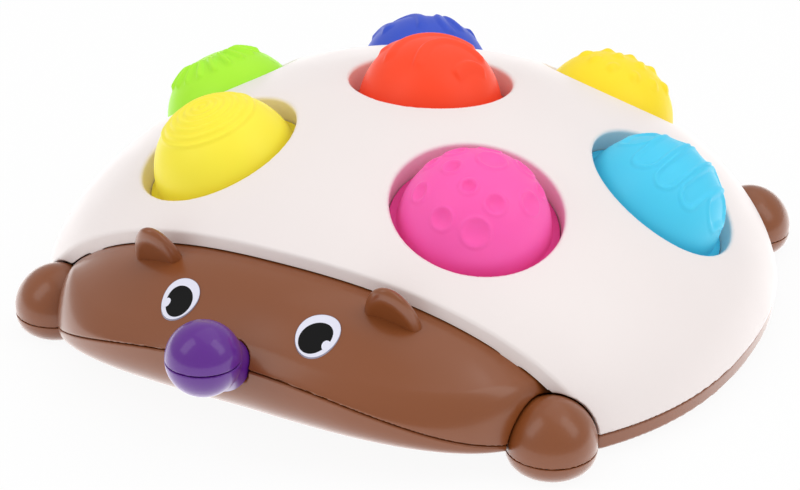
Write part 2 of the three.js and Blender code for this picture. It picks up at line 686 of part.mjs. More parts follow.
// A ring that snaps round the well's tube and holds the flange against its end.
function retainerSolid() {
  const inner = well.radius + well.wall + gap;
  const outer = inner + retainer.wall;
  const lowInner = flangeRadius - retainer.cover;
  const topZ = -bubble.flangeThickness - gap;
  const bottomZ = topZ - retainer.thickness;
  const outline = [
    [lowInner, bottomZ], [outer, bottomZ], [outer, retainer.lip], [inner, retainer.lip],
    [inner, topZ], [lowInner, topZ], [lowInner, bottomZ],
  ];
  return toSolid(turned(outline, steps.bore));
}

// Screws under the tray: one through each foot's tongue, and two along the middle.
const trayScrews = [
  ...footPlaces.map((place) => {
    return { name: place.name, at: tongueEnd(place), bossZ: foot.tongueTopZ + gap };
  }),
  { name: 'front_middle', at: [0, frontY + bossPlaces.midFrontBack], bossZ: floorTopZ + gap },
  { name: 'rear_middle', at: [0, shell.rearReach - bossPlaces.midRearInset], bossZ: floorTopZ + gap },
];
const trayScrewZ = tray.bottomZ - gap - screw.headHeight;

// A screw with its head on z = 0 and its shank up.
function screwSolid() {
  const endZ = screw.headHeight + screw.length;
  const points = [
    [0, 0], [screw.headRadius, 0], [screw.headRadius, screw.headHeight],
    [screw.shankRadius, screw.headHeight], [screw.shankRadius, endZ - screw.tip], [0, endZ],
  ];
  return toSolid(turned(points, steps.screw));
}

function shellSolid(matrices, feet) {
  const outer = dome(0, shell.edgeZ, steps.dome, steps.domeRings);
  const inner = dome(shell.wall, shell.edgeZ - overrun, steps.dome, steps.domeCoreRings);
  const tubes = matrices.map((matrix) => wellTube(matrix).intersect(outer));
  const bosses = trayScrews.map(({ at, bossZ }) => {
    return rod(screw.bossRadius, bossZ, shell.topZ).translate([at[0], at[1], 0]).intersect(outer);
  });
  const pilot = rod(screw.pilotRadius, 0, trayScrewZ + screw.headHeight + screw.length + gap);
  const pilots = trayScrews.map(({ at }) => pilot.translate([at[0], at[1], 0]));
  const body = joined(outer.subtract(inner), ...tubes, ...bosses);
  return cutBy(body, ...pilots, ...matrices.map(wellBore), aheadOf(0), ...feet.map((f) => f.round));
}

function traySolid(feet) {
  const spigotInset = shell.wall + gap;
  const plate = outlineSolid(tray.inset, tray.bottomZ, shell.edgeZ - gap);
  const hollow = outlineSolid(tray.inset + tray.rimWidth, floorTopZ, shell.edgeZ);
  const spigot = outlineSolid(spigotInset, tray.bottomZ + sliver, tray.spigotTopZ)
    .subtract(outlineSolid(spigotInset + tray.spigotWall, floorTopZ, tray.spigotTopZ + gap))
    .intersect(dome(spigotInset, tray.bottomZ, steps.dome, steps.domeCoreRings));
  const halfWall = headHalfWidth * tray.frontWallShare;
  const wallBack = behind(head.tuck + gap + tray.frontWall);
  const frontWall = block(-halfWall, halfWall, frontY, 0, tray.bottomZ + sliver, tray.frontWallTopZ)
    .subtract(wallBack);
  const headRoom = block(-headHalfWidth - gap, headHalfWidth + gap, -shell.frontReach, 0, 0, shell.topZ)
    .intersect(aheadOf(head.tuck + gap));
  const hole = rod(screw.clearRadius, 0, shell.edgeZ);
  const holes = trayScrews.map(({ at }) => hole.translate([at[0], at[1], 0]));
  const neckHole = rodAlongY(screw.clearRadius, frontY, 0, bossPlaces.neckZ);
  const neckHoles = atBothSides(neckHole, neckScrewX, 0);
  const body = joined(plate.subtract(hollow), spigot, frontWall);
  const footRoom = feet.flatMap((f) => [f.round, f.tongue]);
  return cutBy(body, aheadOf(0), headRoom, ...holes, neckHoles, vents(), ...footRoom);
}

function vents() {
  const [halfLength, halfWidth] = [tray.ventLength / 2, tray.ventWidth / 2];
  const slots = [];
  for (let i = 0; i < tray.ventCount; i += 1) {
    const y = tray.ventPitch * (i - (tray.ventCount - 1) / 2);
    slots.push(block(-halfLength, halfLength, y - halfWidth, y + halfWidth, 0, shell.edgeZ));
  }
  return joined(...slots);
}

const finishes = {
  gloss: { roughness: 0.3, metalness: 0 },
  satin: { roughness: 0.5, metalness: 0 },
  soft: { roughness: 0.65, metalness: 0 },
  metal: { roughness: 0.35, metalness: 0.9 },
};

function meshOf(name, geometry, color, finish) {
  const mesh = new THREE.Mesh(geometry, new THREE.MeshStandardMaterial({ color, ...finish }));
  mesh.name = name;
  return mesh;
}

function groupAt(matrix, ...children) {
  const group = new THREE.Group();
  matrix.decompose(group.position, group.quaternion, group.scale);
  group.add(...children);
  return group;
}

function bodyPieces() {
  const feet = footPlaces.map(footSpaces);
  const shellGeometry = toGeometry(shellSolid(wells.map(wellMatrix), feet));
  const halves = headShells(feet);
  return [
    meshOf('shell', shellGeometry, colours.shell, finishes.satin),
    meshOf('base_tray', toGeometry(traySolid(feet)), colours.brown, finishes.satin),
    meshOf('head_upper', toGeometry(halves.upper), colours.brown, finishes.satin),
    meshOf('head_lower', toGeometry(halves.lower), colours.brown, finishes.satin),
    meshOf('click_spring', toGeometry(springLeaf()), colours.steel, finishes.metal),
  ];
}

function facePieces() {
  const earGeometry = toGeometry(makeEar());
  return [['left', -1], ['right', 1]].flatMap(([name, side]) => [
    groupAt(earMatrix(side), meshOf(`${name}_ear`, earGeometry, colours.brown, finishes.gloss)),
    meshOf(`${name}_eye`, toGeometry(eyePlate(side)), colours.eye, finishes.gloss),
  ]);
}

function nosePieces() {
  return [
    meshOf('nose_upper_half', toGeometry(noseHalf(true)), colours.purple, finishes.gloss),
    meshOf('nose_lower_half', toGeometry(noseHalf(false)), colours.purple, finishes.gloss),
    meshOf('nose_spindle', toGeometry(spindle()), colours.purple, finishes.gloss),
    meshOf('click_wheel', toGeometry(clickWheel()), colours.ring, finishes.satin),
  ];
}

function footPieces() {
  const upper = toGeometry(footUpper());
  const sole = toGeometry(footSole());
  return footPlaces.map(({ name, x, y, turn }) => {
    const matrix = new THREE.Matrix4().makeRotationZ(turn).setPosition(x, y, 0);
    return groupAt(
      matrix,
      meshOf(`${name}_foot`, upper, colours.brown, finishes.satin),
      meshOf(`${name}_sole`, sole, colours.brown, finishes.satin),
    );
  });
}

function wellPieces() {
  const crown = toGeometry(crownSolid());
  const skirt = toGeometry(skirtSolid());
  const ring = toGeometry(retainerSolid());
  return wells.map((place) => groupAt(
    wellMatrix(place),
    meshOf(`${place.name}_bubble_crown`, crown, place.colour, finishes.soft),
    meshOf(`${place.name}_bubble_skirt`, skirt, place.colour, finishes.soft),
    meshOf(`${place.name}_retainer_ring`, ring, colours.ring, finishes.satin),
  ));
}

function screwPieces() {
  const geometry = toGeometry(screwSolid());
  const upright = (name, x, y, z) => {
    const mesh = meshOf(name, geometry, colours.steel, finishes.metal);
    mesh.position.set(x, y, z);
    return mesh;
  };
  const under = trayScrews.map(({ name, at }) => upright(`${name}_tray_screw`, at[0], at[1], trayScrewZ));
  const soles = footPlaces.map(({ name, x, y }) => upright(`${name}_sole_screw`, x, y, gap));
  const sides = [['left', -1], ['right', 1]].flatMap(([name, side]) => {
    const headZ = bossPlaces.headSeatZ - gap - screw.headHeight;
    const headScrew = upright(`${name}_head_screw`, side * headScrewX, headScrewY, headZ);
    const innerY = neckWallY + gap + tray.frontWall + gap + gap + screw.headHeight;
    const neckScrew = upright(`${name}_neck_screw`, side * neckScrewX, innerY, bossPlaces.neckZ);
    neckScrew.rotation.x = Math.PI / 2;
    return [headScrew, neckScrew];
  });
  return [...under, ...soles, ...sides];
}

const toy = new THREE.Group();
toy.add(...bodyPieces(), ...facePieces(), ...nosePieces());
toy.add(...footPieces(), ...wellPieces(), ...screwPieces());
toy.position.y = (nose.radius - ballY - shell.rearReach) / 2;

export default toy;
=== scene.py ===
import math
from functools import reduce

import bpy
import numpy as np
from mathutils import Matrix, Vector


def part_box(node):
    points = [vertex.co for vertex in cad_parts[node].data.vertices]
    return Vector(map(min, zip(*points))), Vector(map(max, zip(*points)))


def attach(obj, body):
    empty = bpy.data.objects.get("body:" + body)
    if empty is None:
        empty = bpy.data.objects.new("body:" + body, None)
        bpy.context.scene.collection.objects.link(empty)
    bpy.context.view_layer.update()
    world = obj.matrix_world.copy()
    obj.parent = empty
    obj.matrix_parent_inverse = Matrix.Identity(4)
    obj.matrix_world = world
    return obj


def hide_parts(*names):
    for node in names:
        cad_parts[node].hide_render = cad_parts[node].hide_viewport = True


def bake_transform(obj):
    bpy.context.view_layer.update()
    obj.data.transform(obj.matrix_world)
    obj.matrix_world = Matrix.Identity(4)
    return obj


# Hedgehog pop toy: moulded shell, brown head and feet, purple nose, silicone bubbles.
# Shapes are worked out in millimetres from the middle of the shell's widest line,
# and toyY moves them to the frame's own origin.
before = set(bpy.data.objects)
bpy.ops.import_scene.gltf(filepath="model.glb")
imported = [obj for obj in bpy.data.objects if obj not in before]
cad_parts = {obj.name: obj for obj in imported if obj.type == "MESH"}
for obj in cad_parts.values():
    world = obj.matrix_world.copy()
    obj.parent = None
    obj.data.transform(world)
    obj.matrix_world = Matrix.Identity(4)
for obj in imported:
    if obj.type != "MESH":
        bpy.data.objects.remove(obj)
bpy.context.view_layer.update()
print("frame loaded:", len(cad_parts), "pieces")

toyY = 2.848
mm = 0.001
perMetre = 1000
fullTurn = 2 * math.pi
scene = bpy.context.scene


# Small helpers.
def roundMax(a, b, r):
    # Where both must hold: the corner between a and b gets a radius.
    return np.minimum(np.maximum(a, b), -r) + np.hypot(np.maximum(a + r, 0), np.maximum(b + r, 0))


def allOf(*fields):
    # Inside only where every field is.
    return reduce(np.maximum, fields)


def anyOf(fields):
    # Inside where one of the fields is.
    return reduce(np.minimum, fields)


def rampUp(value, low, high):
    t = np.clip((value - low) / (high - low), 0, 1)
    return t * t * (3 - 2 * t)


def placed(x, y, turn, z=0.0):
    # Frame of a piece that stands at (x, y), turned about the upright.
    return Matrix.Translation((x, y, z)) @ Matrix.Rotation(turn, 4, "Z")


def toWorld(matrix):
    # A frame in millimetres from the shell's middle, as an object matrix in metres.
    out = Matrix.Translation((0, toyY, 0)) @ matrix
    out.translation = out.translation * mm
    return out


def meshFrom(name, points, quads, normals=None):
    mesh = bpy.data.meshes.new(name)
    mesh.from_pydata((np.asarray(points) * mm).tolist(), [], quads)
    mesh.shade_smooth()
    if normals is not None:
        mesh.normals_split_custom_set_from_vertices(normals.tolist())
    return mesh


def addPiece(name, mesh, material, body, nodes, matrix=None):
    piece = bpy.data.objects.new(name, mesh)
    scene.collection.objects.link(piece)
    if not mesh.materials:
        mesh.materials.append(material)
    piece.matrix_world = toWorld(matrix or Matrix.Identity(4))
    if nodes:
        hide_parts(*nodes)
    if body:
        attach(piece, body)
    return piece


# Meshes from fields.
def slopeOf(field, p, h=0.02):
    out = np.empty_like(p)
    for k in range(3):
        step = np.zeros(3)
        step[k] = h
        up, down = p + step, p - step
        out[:, k] = (field(*up.T) - field(*down.T)) / (2 * h)
    return out


def asItIs(x, y, z):
    return x, y, z


def meshOfField(name, field, low, high, cell, passes=3, bend=asItIs):
    # The skin where a field crosses zero: one point per crossed cell, slid onto the surface.
    # A bend turns the grid's places into real ones, so that a curved edge follows the cells.
    sides = [np.arange(a - 1.5 * cell, b + 2.5 * cell, cell, dtype=np.float32) for a, b in zip(low, high)]
    x, y, z = sides
    values = field(*bend(x[:, None, None], y[None, :, None], z[None, None, :]))
    values = np.ascontiguousarray(np.broadcast_to(values, (len(x), len(y), len(z))))
    inside = values < 0
    corners = np.array([[i, j, k] for i in (0, 1) for j in (0, 1) for k in (0, 1)])
    nx, ny, nz = (n - 1 for n in inside.shape)
    count = sum(inside[i:nx + i, j:ny + j, k:nz + k].astype(np.uint8) for i, j, k in corners)
    crossed = (count > 0) & (count < 8)
    cells = np.argwhere(crossed)
    index = np.full(crossed.shape, -1, np.int32)
    index[crossed] = np.arange(len(cells))
    atCorner = [values[tuple((cells + c).T)] for c in corners]
    total, hits = np.zeros((len(cells), 3)), np.zeros(len(cells))
    for a in range(8):
        for b in range(a + 1, 8):
            if np.abs(corners[a] - corners[b]).sum() != 1:
                continue
            va, vb = atCorner[a], atCorner[b]
            cut = (va < 0) != (vb < 0)
            share = va[cut] / (va[cut] - vb[cut])
            total[cut] += corners[a] + (corners[b] - corners[a]) * share[:, None]
            hits[cut] += 1
    origin = np.array([s[0] for s in sides])
    points = origin + (cells + total / hits[:, None]) * cell
    points = np.stack(bend(*points.T), 1)
    quads = []
    for axis in range(3):
        j, k = (axis + 1) % 3, (axis + 2) % 3
        near = np.take(inside, range(inside.shape[axis] - 1), axis)
        far = np.take(inside, range(1, inside.shape[axis]), axis)
        spots = np.argwhere(near != far)
        edge = (spots[:, j] > 0) & (spots[:, k] > 0)
        edge &= (spots[:, j] < inside.shape[j] - 1) & (spots[:, k] < inside.shape[k] - 1)
        spots = spots[edge]
        ring = []
        for dj, dk in ((-1, -1), (0, -1), (0, 0), (-1, 0)):
            spot = spots.copy()
            spot[:, j] += dj
            spot[:, k] += dk
            ring.append(index[tuple(spot.T)])
        ring = np.stack(ring, 1)
        turnedIn = far[tuple(spots.T)]
        ring[turnedIn] = ring[turnedIn][:, ::-1]
        quads.append(ring)
    quads = np.concatenate(quads)
    ends = np.concatenate([quads, np.roll(quads, -1, 1)]).ravel()
    others = np.concatenate([np.roll(quads, -1, 1), quads]).ravel()
    degree = np.bincount(ends, minlength=len(points))
    for step in range(passes + 1):
        slope = slopeOf(field, points)
        size = np.maximum((slope ** 2).sum(1), 0.05)
        if step < passes:
            mean = np.stack([np.bincount(ends, points[others, k], len(points)) for k in range(3)], 1) / degree[:, None]
            drift = mean - points
            drift -= slope * ((drift * slope).sum(1) / size)[:, None]
            points = points + 0.6 * drift
        off = np.clip(field(*points.T), -cell / 2, cell / 2)
        points = points - slope * (off / size)[:, None]
    slope = slopeOf(field, points)
    slope /= np.maximum(np.linalg.norm(slope, axis=1), 1e-6)[:, None]
    return meshFrom(name, points, quads.tolist(), slope)


def easedProfile(points, radius):
    # Each inner corner of a profile becomes a small arc.
    out = [points[0]]
    for before, corner, after in zip(points, points[1:], points[2:]):
        before, corner, after = map(np.array, (before, corner, after))
        a, b = before - corner, after - corner
        la, lb = np.linalg.norm(a), np.linalg.norm(b)
        r = min(radius, 0.45 * la, 0.45 * lb)
        bend = math.acos(max(-1, min(1, float(a @ b) / max(la * lb, 1e-9))))
        if bend > 2.8 or r < 1e-3:
            out.append(tuple(corner))
            continue
        p, q = corner + a / la * r, corner + b / lb * r
        for t in (0, 0.25, 0.5, 0.75, 1):
            out.append(tuple((1 - t) ** 2 * p + 2 * t * (1 - t) * corner + t * t * q))
    out.append(points[-1])
    return out


def turnedMesh(name, profile, segments, matrix=None):
    # A profile of (radius, height) turned about Z. A point on the axis closes the end.
    points, rings = [], []
    for r, z in profile:
        if r < 1e-6:
            rings.append([len(points)])
            points.append((0, 0, z))
            continue
        rings.append(list(range(len(points), len(points) + segments)))
        for i in range(segments):
            a = fullTurn * i / segments
            points.append((r * math.cos(a), r * math.sin(a), z))
    faces = []
    for one, two in zip(rings, rings[1:]):
        for i in range(segments):
            n = (i + 1) % segments
            if len(one) == 1 and len(two) > 1:
                faces.append((one[0], two[i], two[n]))
            elif len(two) == 1 and len(one) > 1:
                faces.append((one[i], two[0], one[n]))
            elif len(one) > 1:
                faces.append((one[i], two[i], two[n], one[n]))
    mesh = meshFrom(name, points, faces)
    if matrix is not None:
        flat = matrix.copy()
        flat.translation = flat.translation * mm
        mesh.transform(flat)
    mesh.set_sharp_from_angle(angle=math.radians(50))
    return mesh


# Finishes.
surface = {
    "driftSize": 26, "polishSize": 90, "grainSize": 1500, "grainDepth": 0.0002,
    "glowReach": (1, 0.6, 0.4), "glowDepth": 0.0015,
}
sockets = {
    "specular": "Specular IOR Level", "metallic": "Metallic", "coat": "Coat Weight", "coatRoughness": "Coat Roughness",
    "sheen": "Sheen Weight", "glow": "Subsurface Weight", "glowReach": "Subsurface Radius",
    "glowDepth": "Subsurface Scale",
}


def linear(rgb):
    # A 0-255 colour to the shader's linear values.
    return [((c / 255 + 0.055) / 1.055) ** 2.4 if c > 10 else c / 255 / 12.92 for c in rgb] + [1.0]


def finish(name, look):
    # One moulded finish: slight colour drift, uneven polish, and a fine surface grain.
    material = bpy.data.materials.new(name)
    material.use_nodes = True
    nodes, links = material.node_tree.nodes, material.node_tree.links
    shader = nodes["Principled BSDF"]
    place = nodes.new("ShaderNodeTexCoord")

    def noise(size, detail):
        node = nodes.new("ShaderNodeTexNoise")
        node.inputs["Scale"].default_value = size
        node.inputs["Detail"].default_value = detail
        links.new(place.outputs["Object"], node.inputs["Vector"])
        return node

    def ranged(source, low, high):
        node = nodes.new("ShaderNodeMapRange")
        node.inputs["From Min"].default_value = 0.3
        node.inputs["From Max"].default_value = 0.7
        node.inputs["To Min"].default_value = low
        node.inputs["To Max"].default_value = high
        links.new(source, node.inputs["Value"])
        return node.outputs["Result"]

    drift = noise(surface["driftSize"], 2)
    mix = nodes.new("ShaderNodeMix")
    mix.data_type = "RGBA"
    colour = linear(look["colour"])
    amount = look["drift"]
    mix.inputs["A"].default_value = [c * (1 - amount) for c in colour[:3]] + [1]
    mix.inputs["B"].default_value = [min(1, c * (1 + amount)) for c in colour[:3]] + [1]
    links.new(ranged(drift.outputs["Fac"], 0, 1), mix.inputs["Factor"])
    links.new(mix.outputs["Result"], shader.inputs["Base Color"])
    rough, uneven = look["roughness"], look.get("uneven", 0.03)
    polish = noise(surface["polishSize"], 3)
    links.new(ranged(polish.outputs["Fac"], rough - uneven, rough + uneven), shader.inputs["Roughness"])
    grain = noise(surface["grainSize"], 2)
    bump = nodes.new("ShaderNodeBump")
    bump.inputs["Strength"].default_value = look["grain"]
    bump.inputs["Distance"].default_value = surface["grainDepth"]
    links.new(grain.outputs["Fac"], bump.inputs["Height"])
    links.new(bump.outputs["Normal"], shader.inputs["Normal"])
    values = {**surface, **look}
    for key, socket in sockets.items():
        if key in values:
            shader.inputs[socket].default_value = values[key]
    return material


plastics = {
    "whiteShell": {"colour": (237, 228, 226), "roughness": 0.4, "specular": 0.36, "drift": 0.01, "grain": 0.10},
    "brownPlastic": {"colour": (131, 70, 30), "roughness": 0.42, "specular": 0.3, "drift": 0.03, "grain": 0.04,
                     "coat": 0.5, "coatRoughness": 0.2},
    "purplePlastic": {"colour": (91, 28, 136), "roughness": 0.4, "specular": 0.25, "drift": 0.02, "grain": 0.02,
                      "coat": 0.45, "coatRoughness": 0.12},
    "innerPlastic": {"colour": (232, 230, 226), "roughness": 0.5, "drift": 0.02, "grain": 0.1},
    "screwSteel": {"colour": (186, 188, 192), "roughness": 0.34, "metallic": 1.0, "drift": 0.04, "grain": 0.06},
    "springSteel": {"colour": (196, 196, 192), "roughness": 0.28, "metallic": 1.0, "drift": 0.03, "grain": 0.04},
    "eyeWhite": {"colour": (225, 225, 240), "roughness": 0.34, "drift": 0.01, "grain": 0.01},
    "eyeBlack": {"colour": (8, 8, 9), "roughness": 0.5, "specular": 0.14, "drift": 0.05, "grain": 0.01},
    # The edge colour is a greyed copy of the eye white: painted shade round each sticker's edge.
    "eyeEdgeShade": {"colour": (150, 146, 166), "roughness": 0.36, "drift": 0.03, "grain": 0.01},
}
silicones = {
    "front_left": (253, 236, 60), "front_right": (255, 90, 178), "middle_left": (172, 240, 44),
    "centre": (255, 68, 22), "middle_right": (72, 204, 240), "back_left": (48, 80, 198),
    "back_right": (255, 224, 26),
}
made = {name: finish(name, look) for name, look in plastics.items()}
for name, colour in silicones.items():
    look = {"colour": colour, "roughness": 0.5, "specular": 0.36, "drift": 0.015, "uneven": 0.04, "grain": 0.05,
            "glow": 0.12, "sheen": 0.02}
    made[name] = finish(name + "_silicone", look)
print("finishes made:", len(made))


def brownPiece(name, mesh, node, matrix=None):
    addPiece(name, mesh, made["brownPlastic"], "housing", [node], matrix)


# Domed shell.
shell = {
    "halfWidth": 93.6, "rearReach": 99.6, "frontReach": 86.8, "outline": 2.17,
    "edgeZ": 6.8, "bandZ": 7.0, "topZ": 58.6, "rimBend": 2.15, "crownBend": 1.56,
    "wall": 2.4, "frontY": -62.296, "bow": 602.0, "lipRadius": 0.5, "mouthRadius": 1.0,
    "stripHalfWidth": 60.2, "strip": 0.8, "outerStrip": 0.5, "stripDepth": 1.6, "lipEnd": 70.0, "cell": 0.66,
}
well = {"radius": 21.0, "wall": 1.6, "foldDepth": 11.4, "lean": 0.92, "gap": 0.3}
wellPlaces = {
    "front_left": (-36.972, -32.7), "front_right": (36.972, -32.7), "middle_left": (-65.707, 15.4),
    "centre": (0, 12.6), "middle_right": (65.707, 15.4), "back_left": (-29.6, 64.9),
    "back_right": (29.6, 64.9),
}


def frontCurve(x):
    return shell["frontY"] + x * x / shell["bow"]


def domeHeight(x, y, inset=0.0):
    reach = np.where(y > 0, shell["rearReach"], shell["frontReach"]) - inset
    s = (np.abs(x) / (shell["halfWidth"] - inset)) ** shell["outline"] + (np.abs(y) / reach) ** shell["outline"]
    out = np.minimum(1, s ** (1 / shell["outline"]))
    level = (1 - out ** shell["rimBend"]) ** (1 / shell["crownBend"])
    return shell["bandZ"] + (shell["topZ"] - shell["bandZ"] - inset) * level


def planShares(x, y):
    # How far out a place lies in the shell's outline, along each axis and in all.
    p, a = shell["outline"], shell["halfWidth"]
    b = np.where(y > 0, shell["rearReach"], shell["frontReach"])
    u, v = np.abs(x) / a, np.abs(y) / b
    return p, a, b, u, v, u ** p + v ** p + 1e-6


def domeField(x, y, z):
    p, a, b, u, v, s = planShares(x, y)
    rim, crown, rise = shell["rimBend"], shell["crownBend"], shell["topZ"] - shell["bandZ"]
    up = np.maximum(0, z - shell["bandZ"]) / rise
    g = s ** (rim / p) + up ** crown - 1
    base = rim * s ** (rim / p - 1)
    slope = np.sqrt((base * u ** (p - 1) / a) ** 2 + (base * v ** (p - 1) / b) ** 2
                    + (crown * up ** (crown - 1) / rise) ** 2)
    return g / np.maximum(slope, 0.006)


def outlineField(x, y):
    p, a, b, u, v, s = planShares(x, y)
    slope = p * np.hypot(u ** (p - 1) / a, v ** (p - 1) / b)
    return (s - 1) / np.maximum(slope, 0.01)


def wellFrame(name):
    # Where the bubble folds, and the well's own directions.
    x, y = wellPlaces[name]
    h = 0.05
    slopeX = float(domeHeight(x + h, y) - domeHeight(x - h, y)) / (2 * h)
    slopeY = float(domeHeight(x, y + h) - domeHeight(x, y - h)) / (2 * h)
    axis = Vector((-slopeX * well["lean"], -slopeY * well["lean"], 1)).normalized()
    centre = Vector((x, y, float(domeHeight(x, y)))) - axis * well["foldDepth"]
    across = (Vector((1, 0, 0)) - axis * axis.x).normalized()
    back = axis.cross(across)
    turn = Matrix((across, back, axis)).transposed().to_4x4()
    return Matrix.Translation(centre) @ turn


wellFrames = {name: wellFrame(name) for name in wellPlaces}

# Feet stand at the corners; each is (name, x, y, turn out of the toy).
footPlaces = [
    ("front_left", -69.732, -58.416, math.radians(180 + 53)),
    ("front_right", 69.732, -58.416, math.radians(-53)),
    ("rear_left", -68.0, 70.616, math.radians(180 - 46)),
    ("rear_right", 68.0, 70.616, math.radians(46)),
]
foot = {
    "radius": 10.8, "waistZ": 7.0, "topZ": 17.7, "bend": 1.85, "seamZ": 5.42, "soleRadius": 5.8, "wall": 1.8,
    "room": 0.42, "tongueReach": 19.0, "tongueHalf": 5.0, "tongueLow": 4.7, "tongueTop": 8.8,
    "screwHole": 1.6, "screwSeat": 3.1, "seatZ": 2.2, "postRadius": 3.6, "postBore": 1.5, "boreTop": 15.2, "cell": 0.5,
}


def footField(x, y, z, grow=0.0):
    # Round body of a foot about its own upright: straight below the waist, egg-like above.
    radius = foot["radius"] + grow
    rise = foot["topZ"] - foot["waistZ"] + grow
    r = np.hypot(x, y) / radius
    up = np.maximum(0, z - foot["waistZ"]) / rise
    bend = foot["bend"]
    g = r ** bend + up ** bend - 1
    slope = bend * np.hypot(r ** (bend - 1) / radius, up ** (bend - 1) / rise)
    return g / np.maximum(slope, 0.02)


def allFeet(x, y, z, grow):
    return anyOf(footField(x - px, y - py, z, grow) for _, px, py, _ in footPlaces)


def shellField(x, y, z):
    outer = domeField(x, y, z)
    lip = frontCurve(x) - y
    bores, tubes = None, None
    for matrix in wellFrames.values():
        c, axis = matrix.translation, matrix.col[2].xyz
        dx, dy, dz = x - c.x, y - c.y, z - c.z
        h = dx * axis.x + dy * axis.y + dz * axis.z
        r = np.sqrt(np.maximum(dx * dx + dy * dy + dz * dz - h * h, 0))
        bore = np.maximum(r - well["radius"], -well["gap"] - h)
        tube = np.maximum(r - well["radius"] - well["wall"], well["gap"] - h)
        bores = bore if bores is None else np.minimum(bores, bore)
        tubes = tube if tubes is None else np.minimum(tubes, tube)
    # A thicker strip under the middle of the lip lies on the head.
    middle = rampUp(shell["stripHalfWidth"] - np.abs(x), -0.6, 0.6)
    strip = middle * shell["strip"] + (1 - middle) * shell["outerStrip"]
    wall = shell["wall"] + strip * rampUp(lip, -shell["stripDepth"] - 1.5, -shell["stripDepth"])
    body = roundMax(outer, -bores, shell["mouthRadius"])
    body = roundMax(body, lip, shell["lipRadius"])
    body = roundMax(body, shell["edgeZ"] - z, 0.5)
    body = roundMax(body, np.minimum(-(outer + wall), tubes), 0.3)
    return roundMax(body, -allFeet(x, y, z, foot["room"]), 0.3)


def lipFall(x):
    # Height of the lip's lower edge, level outside lipEnd.
    side = np.minimum(np.abs(x), shell["lipEnd"])
    return domeHeight(side, frontCurve(side), shell["wall"]) - shell["strip"]


def alongLip(x, y, z):
    # The lip runs along the grid's rows, both in its bow and in its fall to the sides.
    return x, y + x * x / shell["bow"], z + lipFall(x)


reach = shell["halfWidth"] + 0.2
lowRows = math.ceil((float(lipFall(0)) - shell["edgeZ"]) / shell["cell"]) + 1
shellMesh = meshOfField("toy_shell", shellField, (-reach, shell["frontY"] - 0.2, -lowRows * shell["cell"]),
                        (reach, shell["rearReach"] + 0.2, shell["topZ"] + 0.2 - float(lipFall(reach))),
                        shell["cell"], passes=7, bend=alongLip)
addPiece("toy_shell", shellMesh, made["whiteShell"], "housing", ["shell"])
print("shell moulded:", len(shellMesh.polygons), "faces")


# Base tray.
tray = {
    "bottomZ": 2.5, "floorZ": 4.3, "rimZ": 6.55, "inset": 0.55, "rimWidth": 2.6, "spigotZ": 10.0,
    "spigotInset": 2.7, "spigotWall": 1.6, "ventLength": 16.0, "ventWidth": 3.0, "ventPitch": 8.0,
    "ventRadius": 1.4, "headRoom": 68.3, "tuck": 4.3, "edgeRadius": 0.7, "wallHalf": 1.1, "wallReach": 48.0,
    "wallTop": 16.0, "join": 0.3, "screwHole": 1.6, "tongueGap": 0.5, "footFromZ": 5.0, "cell": 0.9,
}
corners = [name for name, *_ in footPlaces]
screwNames = [corner + "_tray_screw" for corner in corners + ["front_middle", "rear_middle"]]
screwNames += [corner + "_sole_screw" for corner in corners] + ["left_head_screw", "right_head_screw"]
screwPlaces = {}  # middle across and along, and the head's lower face
for name in screwNames:
    low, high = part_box(name)
    middle = (low + high) * (perMetre / 2)
    screwPlaces[name] = (middle.x, middle.y - toyY, low.z * perMetre)


def tongueRoom(x, y, z, grow):
    # Slots in the tray for the tongues of the feet.
    def room(px, py, turn):
        c, s = math.cos(turn), math.sin(turn)
        u, v = (x - px) * c + (y - py) * s, -(x - px) * s + (y - py) * c
        return allOf(np.abs(v) - foot["tongueHalf"] - grow, u, -foot["tongueReach"] - grow - u,
                     z - foot["tongueTop"] - grow, tray["floorZ"] - z)

    return anyOf(room(*place[1:]) for place in footPlaces)


def trayField(x, y, z):
    plan = outlineField(x, y)
    lip = frontCurve(x) - y
    plate = roundMax(roundMax(plan + tray["inset"], tray["bottomZ"] - z, tray["edgeRadius"]), z - tray["rimZ"], 0.3)
    hollow = np.maximum(plan + tray["inset"] + tray["rimWidth"], tray["floorZ"] - z)
    body = np.maximum(plate, -hollow)
    low = tray["bottomZ"] + tray["join"] - z
    spigot = allOf(np.abs(plan + tray["spigotInset"] + tray["spigotWall"] / 2) - tray["spigotWall"] / 2,
                   z - tray["spigotZ"], low, domeField(x, y, z) + shell["wall"] + 0.3)
    wallBack = -lip - tray["tuck"] - tray["wallHalf"]
    frontWall = allOf(np.abs(wallBack) - tray["wallHalf"], np.abs(x) - tray["wallReach"], z - tray["wallTop"], low)
    body = np.minimum(np.minimum(body, spigot), frontWall)
    room = np.maximum(np.abs(x) - tray["headRoom"], -tray["tuck"] - lip)
    body = roundMax(body, lip, 0.4)
    body = np.maximum(body, -room)
    vents = anyOf(roundMax(np.abs(x) - tray["ventLength"] / 2, np.abs(y - i * tray["ventPitch"])
                           - tray["ventWidth"] / 2, tray["ventRadius"]) for i in (-1, 0, 1))
    body = roundMax(body, -vents, 0.3)
    for name, (sx, sy, _) in screwPlaces.items():
        if name.endswith("tray_screw"):
            body = np.maximum(body, tray["screwHole"] - np.hypot(x - sx, y - sy))
    body = np.maximum(body, -tongueRoom(x, y, z, tray["tongueGap"]))
    return roundMax(body, -allFeet(x, y, np.maximum(z, tray["footFromZ"]), foot["room"]), 0.3)


trayMesh = meshOfField("base_tray_moulding", trayField, (-reach, shell["frontY"] - 0.2, 2.3),
                       (reach, shell["rearReach"] + 0.2, 16.2), tray["cell"], passes=2)
brownPiece("base_tray_moulding", trayMesh, "base_tray")
print("tray moulded:", len(trayMesh.polygons), "faces")


